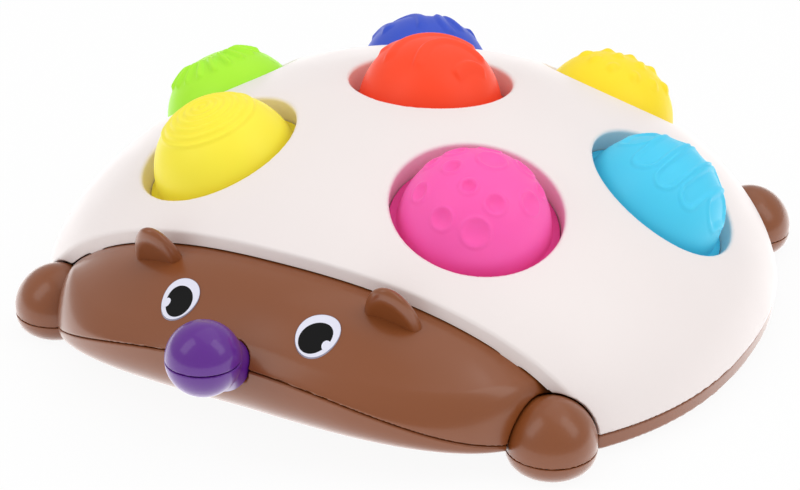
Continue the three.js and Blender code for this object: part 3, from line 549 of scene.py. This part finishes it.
# Head.
head = {
    "halfWidth": 68.0, "backY": -37.996, "frontY": -88.296, "outline": 2.92, "wall": 2.2,
    "seamMidZ": 22.973, "seamDrop": 17.5, "seamBend": 1.95, "bottomZ": 2.5, "bottomBend": 3.1,
    "brow": 2.0, "browRise": 14.0, "slopeBend": 1.25, "edge": 4.5, "sideTighter": 0.62, "tuck": 3.8, "leastRun": 6.0,
    "lipGap": 0.84, "seamGap": 0.13, "seamRadius": 0.34, "seamLean": 0.95, "screwRoom": 3.1, "screwDepth": 1.9,
    "meshBackY": -48.0, "meshRise": 18.5, "meshDrop": 20.8, "cell": 0.42,
}
nose = {
    "reach": 9.748, "tilt": math.radians(33.8), "radius": 8.88, "wall": 1.8, "neckRadius": 4.6, "cuffRadius": 6.35,
    "cuffDepth": 1.5, "journalRadius": 2.6, "flangeRadius": 5.8, "collarRadius": 3.9, "shaftRadius": 1.8,
    "shaftLength": 16.0, "gap": 0.3, "seatGap": 0.12, "cuffGap": 0.15, "housingRadius": 9.0, "housingLength": 9.0,
    "flangeHalf": 0.8, "mouthRadius": 0.3, "seamGap": 0.14, "seamRadius": 0.2, "cell": 0.33,
}
ballY = head["frontY"] - nose["reach"] * math.cos(nose["tilt"])
ballZ = head["seamMidZ"] + nose["reach"] * math.sin(nose["tilt"])


def headSeam(x):
    return head["seamMidZ"] - head["seamDrop"] * (np.abs(x) / head["halfWidth"]) ** head["seamBend"]


def headCrown(x, y):
    # Height of the top away from its rounded edge, from the muzzle back to the lip.
    p = head["outline"]
    b = head["backY"] - head["frontY"]
    deep = b * np.maximum(0, 1 - (np.abs(x) / head["halfWidth"]) ** p) ** (1 / p)
    run = np.maximum(head["leastRun"], deep - head["backY"] + frontCurve(x))
    along = np.clip((frontCurve(x) - y) / run, 0, 1)
    lipZ = domeHeight(x, frontCurve(x), shell["wall"]) - head["lipGap"]
    lowZ = headSeam(x) + head["brow"] + head["browRise"] * (np.abs(x) / head["halfWidth"]) ** 4
    lowZ = np.minimum(lipZ, lowZ)
    return lowZ + (lipZ - lowZ) * np.sin(math.pi / 2 * (1 - along)) ** head["slopeBend"]


def headOut(x, y):
    p = head["outline"]
    a, b = head["halfWidth"], head["backY"] - head["frontY"]
    u, v = np.abs(x) / a, np.maximum(0, head["backY"] - y) / b
    out = (u ** p + v ** p + 1e-7) ** (1 / p)
    return out, out ** (1 - p) * np.hypot(u ** (p - 1) / a, v ** (p - 1) / b)


def headField(x, y, z):
    out, outSlope = headOut(x, y)
    seam = headSeam(x)
    crown = np.maximum(headCrown(x, y) - seam, 0.8)
    edgeRadius = head["edge"] * (1 - head["sideTighter"] * np.minimum(1, np.abs(x) / head["halfWidth"]) ** 6)
    perMm = (head["backY"] - head["frontY"]) / edgeRadius
    up = np.maximum(0, z - seam) / crown
    edge = 1 - np.minimum(1, (1 - out) * perMm)
    top = up ** 2 + edge ** 2 - 1
    top = top / np.maximum(2 * np.hypot(up / crown, edge * perMm * outSlope), 0.03)
    bend = head["bottomBend"]
    deep = np.maximum(seam - head["bottomZ"], 1.0)
    down = np.maximum(0, seam - z) / deep
    low = down ** bend + out ** bend - 1
    low = low / np.maximum(bend * np.hypot(down ** (bend - 1) / deep, out ** (bend - 1) * outSlope), 0.01)
    return np.where(z > seam, top, low)


def aboutNose(x, y, z):
    # Distance from the nose's axis, and how far along it from the head's front inwards.
    c, s = math.cos(nose["tilt"]), math.sin(nose["tilt"])
    dy, dz = y - head["frontY"], z - head["seamMidZ"]
    return np.hypot(x, dy * s + dz * c), dy * c - dz * s


def fromBall(x, y, z):
    return np.sqrt(x * x + (y - ballY) ** 2 + (z - ballZ) ** 2)


def wholeHead(x, y, z):
    outer = headField(x, y, z)
    back = y - frontCurve(x) - head["tuck"]
    r, along = aboutNose(x, y, z)
    housing = np.maximum(r - nose["housingRadius"], along - nose["housingLength"])
    core = allOf(outer + head["wall"], back + head["wall"], -housing)
    body = np.maximum(roundMax(outer, back, 0.4), -core)
    bore = r - nose["journalRadius"] - nose["gap"]
    cuffRoom = np.maximum(r - nose["cuffRadius"] - nose["cuffGap"], along - nose["cuffDepth"] - nose["gap"])
    body = np.maximum(body, -np.maximum(bore, along - nose["housingLength"] - 1))
    body = roundMax(body, -cuffRoom, nose["mouthRadius"])
    body = roundMax(body, nose["radius"] + nose["gap"] - fromBall(x, y, z), nose["mouthRadius"])
    return roundMax(body, -allFeet(x, y, z, foot["room"]), 0.4)


def headUpperField(x, y, z):
    seam = (headSeam(x) + head["seamGap"] - z) * head["seamLean"]
    return roundMax(wholeHead(x, y, z), seam, head["seamRadius"])


def headLowerField(x, y, z):
    seam = (z - headSeam(x) + head["seamGap"]) * head["seamLean"]
    body = roundMax(wholeHead(x, y, z), seam, head["seamRadius"])
    for name in ("left_head_screw", "right_head_screw"):
        sx, sy, sz = screwPlaces[name]
        r = np.hypot(x - sx, y - sy)
        body = np.maximum(body, -np.maximum(r - head["screwRoom"], z - sz - head["screwDepth"]))
    return body


def alongSeam(x, y, z):
    # Heights counted from the seam.
    return x, y + 0 * x, z + headSeam(x)


headReach = head["halfWidth"] + 0.3
for name, field, low, high, node in (("head_top", headUpperField, -0.1, head["meshRise"], "head_upper"),
                                     ("head_bottom", headLowerField, -head["meshDrop"], 0.1, "head_lower")):
    mesh = meshOfField(name, field, (-headReach, head["frontY"] - 0.3, low), (headReach, head["meshBackY"], high),
                       head["cell"], passes=8, bend=alongSeam)
    brownPiece(name, mesh, node)
    print(name, "moulded:", len(mesh.polygons), "faces")


# Ears.
ear = {
    "x": 31.9, "y": -64.2, "rootZ": 28.3, "halfWidth": 7.35, "depth": 3.5, "height": 14.6, "turn": 3, "lean": 22,
    "faceY": -2.3, "dish": 0.9, "plug": 4.0, "edge": 0.5, "cell": 0.3,
}


def ballField(x, y, z, a, b, c):
    g = np.sqrt((x / a) ** 2 + (y / b) ** 2 + (z / c) ** 2 + 1e-9)
    slope = np.sqrt((x / a ** 2) ** 2 + (y / b ** 2) ** 2 + (z / c ** 2) ** 2 + 1e-12) / g
    return (g - 1) / np.maximum(slope, 0.03)


def earField(x, y, z):
    # A round-backed cup whose face is a smooth shallow dish inside a thin rim.
    outer = ballField(x, y, z, ear["halfWidth"], ear["depth"], ear["height"])
    share = np.minimum(1, (x / ear["halfWidth"]) ** 2 + (z / ear["height"]) ** 2)
    face = ear["faceY"] + ear["dish"] * (1 - share) ** 0.8
    body = roundMax(outer, (face - y) * 0.9, ear["edge"])
    return np.maximum(body, -ear["plug"] - z)


earBox = ((-7.8, -3.8, -4.2), (7.8, 3.8, 14.9))
earMesh = meshOfField("ear_cup", earField, *earBox, ear["cell"], passes=5)
for side, sign in (("left", -1), ("right", 1)):
    matrix = Matrix.Translation((sign * ear["x"], ear["y"], ear["rootZ"]))
    matrix = matrix @ Matrix.Rotation(sign * math.radians(ear["turn"]), 4, "Z")
    matrix = matrix @ Matrix.Rotation(math.radians(ear["lean"]), 4, "X")
    brownPiece(side + "_ear_cup", earMesh, side + "_ear", matrix)
print("ears set")


# Eyes.
eye = {
    "x": 18.9, "y": -77.3, "length": 5.35, "width": 4.6, "turn": 43, "egg": 0.12, "thick": 0.3,
    # line is the width of the painted shade ring round the sticker's edge.
    "line": 0.1, "pupilU": -0.66, "pupilV": -0.43, "pupilLength": 4.1, "pupilWidth": 3.2, "glint": 1.1,
    "glintU": 1.2, "glintV": -3.1, "pupilEgg": 0.08, "layer": 0.02, "rings": 7, "segments": 56,
}


def headSurface(x, y):
    # Height of the moulded top at one point.
    low, high = float(headSeam(x)), 45.0
    for _ in range(40):
        mid = (low + high) / 2
        if float(headField(np.float64(x), np.float64(y), np.float64(mid))) < 0:
            low = mid
        else:
            high = mid
    return low


def eyePiece(side, sign):
    turn = math.radians(eye["turn"] if sign > 0 else 180 - eye["turn"])
    c, s = math.cos(turn), math.sin(turn)
    points, faces, slots = [], [], []

    def plate(centre, length, width, egg, lift, slot, mirror, skirt=0.0):
        rings, segments = eye["rings"], eye["segments"]
        first = len(points)
        spots = [(0.0, 0.0)]
        for j in range(1, rings + 1):
            for i in range(segments):
                a = fullTurn * i / segments
                share = j / rings
                spots.append((length * share * math.cos(a), width * share * math.sin(a) * (1 - egg * math.cos(a))))
        for u, v in spots:
            u, v = u + centre[0], (v + centre[1]) * mirror
            x = sign * eye["x"] + u * c - v * s
            y = eye["y"] + u * s + v * c
            points.append((x, y, headSurface(x, y) + lift))
        ring = lambda j, i: first + (0 if j == 0 else 1 + (j - 1) * segments + i % segments)
        for i in range(segments):
            faces.append((ring(0, 0), ring(1, i), ring(1, i + 1)))
            slots.append(slot)
            for j in range(1, rings):
                faces.append((ring(j, i), ring(j + 1, i), ring(j + 1, i + 1), ring(j, i + 1)))
                slots.append(slot)
        if skirt:
            last = len(points)
            for i in range(segments):
                x, y, z = points[ring(rings, i)]
                points.append((x, y, z - skirt))
            for i in range(segments):
                faces.append((ring(rings, i), last + i, last + (i + 1) % segments, ring(rings, i + 1)))
                slots.append(slot)

    mirror = 1 if sign > 0 else -1
    thick, layer = eye["thick"], eye["layer"]
    # The outer plate and its skirt take the darker edge colour, painted shade along the sticker's edge, left as a thin
    # ring round the white.
    plate((0, 0), eye["length"], eye["width"], eye["egg"], thick, 2, mirror, thick)
    plate((0, 0), eye["length"] - eye["line"], eye["width"] - eye["line"], eye["egg"], thick + layer, 0, mirror)
    plate((eye["pupilU"], eye["pupilV"]), eye["pupilLength"], eye["pupilWidth"], eye["pupilEgg"],
          thick + 2 * layer, 1, mirror)
    plate((eye["glintU"], eye["glintV"]), eye["glint"], eye["glint"], 0, thick + 3 * layer, 0, mirror)
    mesh = meshFrom(side + "_eye_sticker", points, faces)
    for name in ("eyeWhite", "eyeBlack", "eyeEdgeShade"):
        mesh.materials.append(made[name])
    mesh.polygons.foreach_set("material_index", slots)
    return mesh


for side, sign in (("left", -1), ("right", 1)):
    addPiece(side + "_eye_sticker", eyePiece(side, sign), None, "housing", [side + "_eye"])
print("eyes stuck on")


# Nose.
def noseBall(x, y, z):
    away = fromBall(x, y, z)
    body = np.maximum(away - nose["radius"], nose["radius"] - nose["wall"] - away)
    r, along = aboutNose(x, y, z)
    neck = np.maximum(r - nose["neckRadius"] - nose["gap"], -nose["reach"] - along)
    return np.maximum(body, -neck)


def noseUpperField(x, y, z):
    return roundMax(noseBall(x, y, z), ballZ + nose["seamGap"] - z, nose["seamRadius"])


def noseLowerField(x, y, z):
    return roundMax(noseBall(x, y, z), z - ballZ + nose["seamGap"], nose["seamRadius"])


noseBox = ((-9.1, ballY - 9.1, ballZ - 9.1), (9.1, ballY + 9.1, ballZ + 9.1))
for name, field, node in (("nose_top", noseUpperField, "nose_upper_half"),
                          ("nose_bottom", noseLowerField, "nose_lower_half")):
    mesh = meshOfField(name, field, *noseBox, nose["cell"])
    addPiece(name, mesh, made["purplePlastic"], "nose", [node])


def spindleMesh():
    # From the flange inside the ball through the cuff to the shaft's end inside the head.
    middle, half = -nose["reach"], nose["flangeHalf"]
    seat = lambda r: middle + math.sqrt((nose["radius"] + nose["seatGap"]) ** 2 - r * r)
    collar = nose["housingLength"] / 2
    profile = [(0, middle - half), (nose["flangeRadius"], middle - half), (nose["flangeRadius"], middle + half),
               (nose["neckRadius"], middle + half), (nose["neckRadius"], seat(nose["neckRadius"]))]
    profile += [(r, seat(r)) for r in (5.2, 5.8, 6.4)]
    profile += [(nose["cuffRadius"], seat(nose["cuffRadius"])), (nose["cuffRadius"], nose["cuffDepth"]),
                (nose["journalRadius"], nose["cuffDepth"]), (nose["journalRadius"], collar - 1),
                (nose["collarRadius"], collar - 1), (nose["collarRadius"], collar + 1),
                (nose["shaftRadius"], collar + 1), (nose["shaftRadius"], nose["shaftLength"]), (0, nose["shaftLength"])]
    turn = Matrix.Translation((0, head["frontY"], head["seamMidZ"]))
    turn = turn @ Matrix.Rotation(-nose["tilt"] - math.pi / 2, 4, "X")
    return turnedMesh("nose_cuff", easedProfile(profile, 0.3), 72, turn)


addPiece("nose_cuff", spindleMesh(), made["purplePlastic"], "nose", ["nose_spindle"])
print("nose fitted")


# Feet.
def footCapField(x, y, z):
    outer = footField(x, y, z)
    inner = footField(x, y, z, -foot["wall"])
    body = np.maximum(roundMax(outer, foot["seamZ"] + 0.12 - z, 0.25), -inner)
    # The tongue goes into the toy, and the post takes the sole's screw.
    tongue = allOf(np.abs(y) - foot["tongueHalf"], -foot["tongueReach"] - x, x + foot["radius"] - 1.5,
                   foot["tongueLow"] - z, z - foot["tongueTop"])
    r = np.hypot(x, y)
    post = allOf(r - foot["postRadius"], foot["seamZ"] + 0.3 - z, outer + 0.6)
    post = np.maximum(post, np.maximum(foot["postBore"] - r, 0) * np.where(z < foot["boreTop"], 1.0, 0.0) - 1e-3)
    body = np.minimum(np.minimum(body, tongue), post)
    return np.maximum(body, foot["screwHole"] - np.hypot(x + foot["tongueReach"] * 0.8, y))


footMesh = meshOfField("foot_cap", footCapField, (-19.3, -11, 4.4), (11, 11, 18.6), foot["cell"])
hole, seat, seatZ, soleTop = foot["screwHole"], foot["screwSeat"], foot["seatZ"], foot["seamZ"] - 0.02
solePoints = [(hole, seatZ), (seat, seatZ), (seat, 0), (foot["soleRadius"], 0)]
for i in range(1, 7):
    a = math.pi / 2 * i / 6
    solePoints.append((foot["soleRadius"] + (foot["radius"] - foot["soleRadius"]) * math.sin(a),
                       (1 - math.cos(a)) * soleTop))
solePoints += [(hole, soleTop), (hole, seatZ)]
soleMesh = turnedMesh("foot_sole", easedProfile(solePoints, 0.25), 72)
for name, x, y, turn in footPlaces:
    matrix = placed(x, y, turn)
    brownPiece(name + "_foot_cap", footMesh, name + "_foot", matrix)
    brownPiece(name + "_foot_sole", soleMesh, name + "_sole", matrix)
print("feet placed")


# Bubbles.
bubble = {
    "radius": 18.9, "height": 21.52, "bend": 2.2, "wall": 1.7, "flangeRadius": 22.3, "flange": 1.4,
    "foldHeight": 3.4, "ringRadius": 20.75, "segments": 224, "rings": 76,
}


def ridge(distance, halfWidth):
    # A smooth bead of height 1 on a line at distance 0.
    t = np.clip(1 - (distance / halfWidth) ** 2, 0, 1)
    return t * t


def alongLine(u, v, line):
    # Distance to a line of points, with a sign for its side, and how far along it lies.
    best = np.full(np.shape(u), 1e9)
    sideOf, far = np.zeros(np.shape(u)), np.zeros(np.shape(u))
    lengths = [math.dist(a, b) for a, b in zip(line, line[1:])]
    run = 0.0
    for (a, b), length in zip(zip(line, line[1:]), lengths):
        du, dv = (b[0] - a[0]) / length, (b[1] - a[1]) / length
        t = np.clip((u - a[0]) * du + (v - a[1]) * dv, 0, length)
        d = np.hypot(u - a[0] - t * du, v - a[1] - t * dv)
        cross = (u - a[0]) * dv - (v - a[1]) * du
        near = d < best
        best = np.where(near, d, best)
        sideOf = np.where(near, np.sign(cross), sideOf)
        far = np.where(near, (run + t) / sum(lengths), far)
        run += length
    return best, sideOf, far


def smoothLine(line, times=2):
    # Cuts each corner of a line at a quarter of its sides.
    for _ in range(times):
        out = [line[0]]
        for a, b in zip(line, line[1:]):
            for near, far in ((0.75, 0.25), (0.25, 0.75)):
                out.append((a[0] * near + b[0] * far, a[1] * near + b[1] * far))
        line = out + [line[-1]]
    return line


craters = [  # across, back, hollow radius, depth
    (-7.4, -1.2, 1.8, 0.75), (-1.0, -5.4, 1.6, 0.8), (6.3, -6.0, 2.1, 0.85), (-3.3, -13.3, 2.2, 0.85),
    (5.2, -12.7, 2.8, 0.8), (-11.6, -8.1, 2.0, 0.7), (-0.3, 5.4, 2.9, 0.75), (12.2, 1.0, 2.4, 0.7),
    (-9.8, 6.1, 2.2, 0.7), (6.2, 10.8, 2.4, 0.75), (-3.6, 12.4, 2.0, 0.75), (-13.6, 1.2, 1.6, 0.7),
    (12.0, 8.0, 1.7, 0.7), (12.8, -6.8, 1.6, 0.0),
]
waves = [
    [(1.6, -12.8), (0.6, -8.5), (0.2, -5.0), (0.6, -1.6), (2.4, 1.7), (5.6, 4.0), (9.4, 5.2), (13.0, 5.4)],
    [(10.6, -8.2), (10.7, -5.4), (11.2, -2.6), (12.4, 0.0), (14.2, 2.0)],
    [(-7.7, -10.6), (-8.4, -7.5), (-8.4, -4.4), (-7.4, -0.6), (-5.2, 3.0), (-1.8, 6.2), (2.6, 8.6), (8.0, 10.2)],
    [(-13.0, -4.2), (-13.2, 0.0), (-11.8, 4.4), (-8.8, 8.4), (-4.6, 11.4), (0.4, 13.2)],
]
leaves = [
    [(13.2, -4.0), (9.0, -2.6), (5.0, 0.6), (2.4, 5.0), (1.6, 10.0), (2.0, 13.4)],
    [(4.4, -13.4), (2.4, -9.4), (-0.6, -5.4), (-4.6, -2.6), (-9.4, -1.6), (-13.8, -2.0)],
    [(-4.0, 1.6), (-6.6, 4.6), (-8.4, 8.4), (-9.0, 12.0)],
    [(12.0, 3.6), (9.4, 6.4), (8.0, 9.8), (8.0, 12.6)],
    [(12.0, -9.0), (8.0, -7.6), (5.4, -4.6), (3.8, -1.4)],
    [(-6.6, -12.6), (-8.0, -9.2), (-11.0, -6.4), (-13.8, -5.6)],
]


def ringsRelief(u, v):
    r = np.hypot(u, v - 0.6)
    wave = 0.5 + 0.5 * np.cos(fullTurn * (r - 0.2) / 2.0)
    return 0.5 * wave * (1 - rampUp(r, 12.0, 12.6))


def craterRelief(u, v):
    # Round on the dome: down the slope a mark is as long as it is wide.
    out = np.zeros(np.shape(u))
    for cu, cv, radius, depth in craters:
        far = math.hypot(cu, cv)
        share = far / bubble["radius"]
        fall = bubble["height"] / bubble["radius"] * share ** 1.2 * (1 - share ** 2.2) ** -0.545
        outwards = ((u - cu) * cu + (v - cv) * cv) / far
        across = ((u - cu) * -cv + (v - cv) * cu) / far
        d = np.hypot(outwards * math.hypot(1, fall), across)
        bowl = -depth * np.clip(1 - (d / radius) ** 2.2, 0, 1)
        out += bowl + 0.36 * ridge(d - radius * 1.12 - 0.25, 0.75) * (1 if depth else 0)
    return out


def ovalRelief(u, v):
    # Sunken long ovals side by side, each with a raised outline, held inside a circle.
    out = np.zeros(np.shape(u))
    for middle, half in ((-13.0, 4.6), (-6.8, 11.0), (0.2, 12.6), (7.0, 11.0), (13.2, 5.0)):
        bent = middle + 0.05 * (v + 8.0)
        d = np.hypot(u - bent, np.maximum(np.abs(v) - half + 2.5, 0)) - 2.45
        sunk = -0.42 * (1 - rampUp(d, -0.7, 0.05))
        out += sunk + 0.34 * ridge(d - 0.4, 0.6)
    return out


def ribRelief(u, v):
    r, a = np.hypot(u, v), np.arctan2(v, u)
    ribs = 18
    off = (a + math.radians(-5)) * ribs / fullTurn
    off = np.abs(off - np.round(off)) * fullTurn * r / ribs
    half = 1.35 * np.clip(r / 9.0, 0.35, 1.0)
    return 0.95 * ridge(off, half) * rampUp(r, 5.0, 7.6) * (1 - rampUp(r, 12.2, 13.4))


def waveRelief(u, v, lines, height, width):
    out = np.zeros(np.shape(u))
    for line in lines:
        d, side, far = alongLine(u, v, smoothLine(line))
        fade = rampUp(far, 0.0, 0.10) * (1 - rampUp(far, 0.94, 1.0))
        steep = np.where(side > 0, width, width * 0.42)
        out = np.maximum(out, height * fade * ridge(d, steep))
    return out


def studRelief(u, v):
    # One bead at the top and two rings of beads round it.
    spots = [(0.0, 0.0)]
    for radius, count, first in ((6.4, 6, 20), (12.0, 12, 5)):
        turns = [math.radians(360 // count * k + first) for k in range(count)]
        spots += [(radius * math.cos(turn), radius * math.sin(turn)) for turn in turns]
    out = np.zeros(np.shape(u))
    for a, b in spots:
        out = np.maximum(out, 0.85 * ridge(np.hypot(u - a, v - b), 2.2))
    return out


patterns = {  # relief, slot
    "front_left": (ringsRelief, "yellow_silicone"), "front_right": (craterRelief, "pink_silicone"),
    "middle_left": (ribRelief, "green_silicone"), "middle_right": (ovalRelief, "cyan_silicone"),
    "centre": (lambda u, v: waveRelief(u, v, waves, 0.7, 2.7), "red_silicone"),
    "back_left": (lambda u, v: waveRelief(u, v, leaves, 0.75, 3.0), "blue_silicone"),
    "back_right": (studRelief, "warm_yellow_silicone"),
}


def bubbleMesh(name, relief):
    # The pattern at the top stays under the dome's full height.
    near = np.meshgrid(np.linspace(-7, 7, 29), np.linspace(-7, 7, 29))
    highest = float(relief(*near).max())
    R, H, bend = bubble["radius"], bubble["height"] - max(0, highest), bubble["bend"]
    n, segments = bubble["rings"], bubble["segments"]
    angle = np.linspace(0, math.pi / 2, n + 1)[1:]
    share = np.sin(angle) ** (2 / bend), np.maximum(np.cos(angle), 0) ** (2 / bend)
    fold, ringR = bubble["foldHeight"], bubble["ringRadius"]
    profile = [(R * r, H * h, True) for r, h in zip(*share) if H * h > fold + 0.8]
    lastR = profile[-1][0]
    profile += [(lastR + 0.12, fold + 0.4, False), (lastR + 0.45, fold + 0.05, False), (ringR - 0.3, fold, False),
                (ringR, fold - 0.3, False), (ringR, 0, False), (bubble["flangeRadius"] - 0.3, 0, False),
                (bubble["flangeRadius"], -0.3, False), (bubble["flangeRadius"], -bubble["flange"], False),
                (R - bubble["wall"], -bubble["flange"], False)]
    innerR, innerH = R - bubble["wall"], H - bubble["wall"]
    for a in np.linspace(math.pi / 2, 0, 22)[1:-1]:
        profile.append((innerR * math.sin(a) ** (2 / bend), innerH * math.cos(a) ** (2 / bend), False))
    a = fullTurn * np.arange(segments) / segments
    rows = []
    for r, h, shown in profile:
        u, v = r * np.cos(a), r * np.sin(a)
        w = np.full(segments, h)
        if shown:
            nr, nh = (r / R) ** (bend - 1) / R, (h / H) ** (bend - 1) / H
            size = math.hypot(nr, nh)
            lift = relief(u, v)
            u, v = u + lift * nr / size * np.cos(a), v + lift * nr / size * np.sin(a)
            w = w + lift * nh / size
        rows.append(np.stack([u, v, w], 1))
    top = float(relief(np.array([0.0]), np.array([0.0]))[0])
    points = np.concatenate([[[0, 0, H + top]], *rows, [[0, 0, H - bubble["wall"]]]])
    ring = lambda j, i: 1 + j * segments + i % segments
    last = len(points) - 1
    faces = [(0, ring(0, i), ring(0, i + 1)) for i in range(segments)]
    for j in range(len(profile) - 1):
        faces += [(ring(j, i), ring(j + 1, i), ring(j + 1, i + 1), ring(j, i + 1)) for i in range(segments)]
    faces += [(last, ring(len(profile) - 1, i + 1), ring(len(profile) - 1, i)) for i in range(segments)]
    mesh = meshFrom(name + "_bubble", points, faces)
    mesh.transform(toWorld(wellFrames[name]))
    return mesh


for name in wellPlaces:
    relief, slotName = patterns[name]
    piece = bpy.data.objects.new(name + "_bubble", bubbleMesh(name, relief))
    scene.collection.objects.link(piece)
    piece.data.materials.append(made[name])
    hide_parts(name + "_bubble_crown", name + "_bubble_skirt")
    world = toWorld(wellFrames[name])
    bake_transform(piece)
print("bubbles set:", len(wellPlaces))


# Screws and inner pieces.
screw = {
    "headRadius": 2.7, "headHeight": 1.6, "shankRadius": 1.15, "length": 13.0, "tip": 1.2,
    "crossHalf": 1.5, "crossWidth": 0.34, "threadDepth": 0.14, "threadPitch": 1.1,
}


def screwField(x, y, z):
    # Pan head down, with a cross drive, and a ribbed shank.
    r = np.hypot(x, y)
    crownZ = 0.55 * (r / screw["headRadius"]) ** 3
    pan = allOf(r - screw["headRadius"], crownZ - z, z - screw["headHeight"])
    slot = np.minimum(np.maximum(np.abs(x) - screw["crossHalf"], np.abs(y) - screw["crossWidth"]),
                      np.maximum(np.abs(y) - screw["crossHalf"], np.abs(x) - screw["crossWidth"]))
    slot = np.maximum(slot, z - 1.0 + 0.35 * r)
    end = screw["headHeight"] + screw["length"]
    thread = screw["threadDepth"] * np.cos(fullTurn * (z / screw["threadPitch"] - np.arctan2(y, x) / fullTurn))
    shank = allOf(r - screw["shankRadius"] - thread + screw["threadDepth"], screw["headHeight"] - 0.3 - z,
                  (z - end + screw["tip"] * r / screw["shankRadius"]) * 0.7)
    return np.minimum(np.maximum(pan, -slot), shank)


screwMesh = meshOfField("pan_screw", screwField, (-2.9, -2.9, -0.1), (2.9, 2.9, 14.8), 0.2, passes=1)
for name, (x, y, z) in screwPlaces.items():
    addPiece(name + "_cross", screwMesh, made["screwSteel"], "housing", [name], placed(x, y, 0.6, z))
for side in ("left", "right"):
    name = side + "_neck_screw"
    low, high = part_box(name)
    middle = (low + high) * (perMetre / 2)
    matrix = Matrix.Translation((middle.x, high.y * perMetre - toyY, middle.z)) @ Matrix.Rotation(math.pi / 2, 4, "X")
    addPiece(name + "_cross", screwMesh, made["screwSteel"], "housing", [name], matrix)


def dress(node, material):
    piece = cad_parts[node]
    if not piece.material_slots:
        piece.data.materials.append(material)
    for slot in piece.material_slots:
        slot.material = material


for name in wellPlaces:
    dress(name + "_retainer_ring", made["innerPlastic"])
dress("click_wheel", made["innerPlastic"])
dress("click_spring", made["springSteel"])
print("screws and inner pieces dressed")


# Floor, light and camera.
studio = {"world": 0.74, "keyLeft": 1.75, "keyRight": 1.9, "top": 2.4, "floorShow": 0.93, "floorShine": 2.3}


def makeFloor():
    size = 3.0
    mesh = bpy.data.meshes.new("studio_floor")
    mesh.from_pydata([(-size, -size, 0), (size, -size, 0), (size, size, 0), (-size, size, 0)], [], [(0, 1, 2, 3)])
    floor = bpy.data.objects.new("studio_floor", mesh)
    scene.collection.objects.link(floor)
    material = bpy.data.materials.new("floor_paper")
    material.use_nodes = True
    nodes, links = material.node_tree.nodes, material.node_tree.links
    paper = nodes["Principled BSDF"]
    paper.inputs["Base Color"].default_value = (0.9, 0.9, 0.9, 1)
    paper.inputs["Roughness"].default_value = 0.9
    paper.inputs["Specular IOR Level"].default_value = 0.1
    glow = nodes.new("ShaderNodeEmission")
    ray = nodes.new("ShaderNodeLightPath")
    mixed = nodes.new("ShaderNodeMixShader")

    def worked(operation, source, *values):
        node = nodes.new("ShaderNodeMath")
        node.operation = operation
        links.new(source, node.inputs[0])
        for socket, value in zip(node.inputs[1:], values):
            socket.default_value = value
        return node

    # The lit paper looks brighter in the plastic than to the camera, where it clips.
    shine = worked("MULTIPLY_ADD", ray.outputs["Is Glossy Ray"], studio["floorShine"] - 1, 1.0)
    links.new(shine.outputs[0], glow.inputs["Strength"])
    seen = worked("MAXIMUM", ray.outputs["Is Camera Ray"])
    links.new(ray.outputs["Is Glossy Ray"], seen.inputs[1])
    share = worked("MULTIPLY", seen.outputs[0], studio["floorShow"])
    links.new(share.outputs[0], mixed.inputs["Fac"])
    links.new(paper.outputs[0], mixed.inputs[1])
    links.new(glow.outputs[0], mixed.inputs[2])
    links.new(mixed.outputs[0], nodes["Material Output"].inputs["Surface"])
    mesh.materials.append(material)


def makeWorld():
    world = bpy.data.worlds.new("studio_world")
    scene.world = world
    world.use_nodes = True
    nodes, links = world.node_tree.nodes, world.node_tree.links
    soft = nodes["Background"]
    soft.inputs["Color"].default_value = (1, 1, 1, 1)
    soft.inputs["Strength"].default_value = studio["world"]
    white = nodes.new("ShaderNodeBackground")
    white.inputs["Strength"].default_value = 1.0
    ray = nodes.new("ShaderNodeLightPath")
    mixed = nodes.new("ShaderNodeMixShader")
    links.new(ray.outputs["Is Camera Ray"], mixed.inputs["Fac"])
    links.new(soft.outputs[0], mixed.inputs[1])
    links.new(white.outputs[0], mixed.inputs[2])
    links.new(mixed.outputs[0], nodes["World Output"].inputs["Surface"])


def addLamp(name, direction, distance, width, height, power):
    data = bpy.data.lights.new(name, "AREA")
    data.shape = "RECTANGLE"
    data.size, data.size_y = width, height
    data.energy = power
    lamp = bpy.data.objects.new(name, data)
    scene.collection.objects.link(lamp)
    aim = Vector((0, -0.02, 0.03))
    away = Vector(direction).normalized()
    lamp.location = aim + away * distance
    lamp.rotation_euler = away.to_track_quat("Z", "Y").to_euler()


makeFloor()
makeWorld()
addLamp("left_softbox", (-0.442, -0.551, 0.708), 1.0, 0.42, 0.75, studio["keyLeft"])
addLamp("right_softbox", (0.7155, 0.1128, 0.69), 1.0, 0.42, 0.75, studio["keyRight"])
addLamp("top_softbox", (0.1, 0.3, 1.0), 1.3, 1.2, 1.2, studio["top"])

cameraData = bpy.data.cameras.new("photo_camera")
cameraData.lens = 107.35
cameraData.sensor_width = 36
cameraData.sensor_fit = "HORIZONTAL"
cameraData.clip_start = 0.02
camera = bpy.data.objects.new("photo_camera", cameraData)
scene.collection.objects.link(camera)
camera.matrix_world = Matrix((
    (0.8766, -0.2159, 0.4302, 0.26587),
    (0.4813, 0.3921, -0.7840, -0.48557),
    (0.0006, 0.8942, 0.4476, 0.29316),
    (0, 0, 0, 1),
))
scene.camera = camera
scene.view_settings.view_transform = "Standard"
print("studio set")
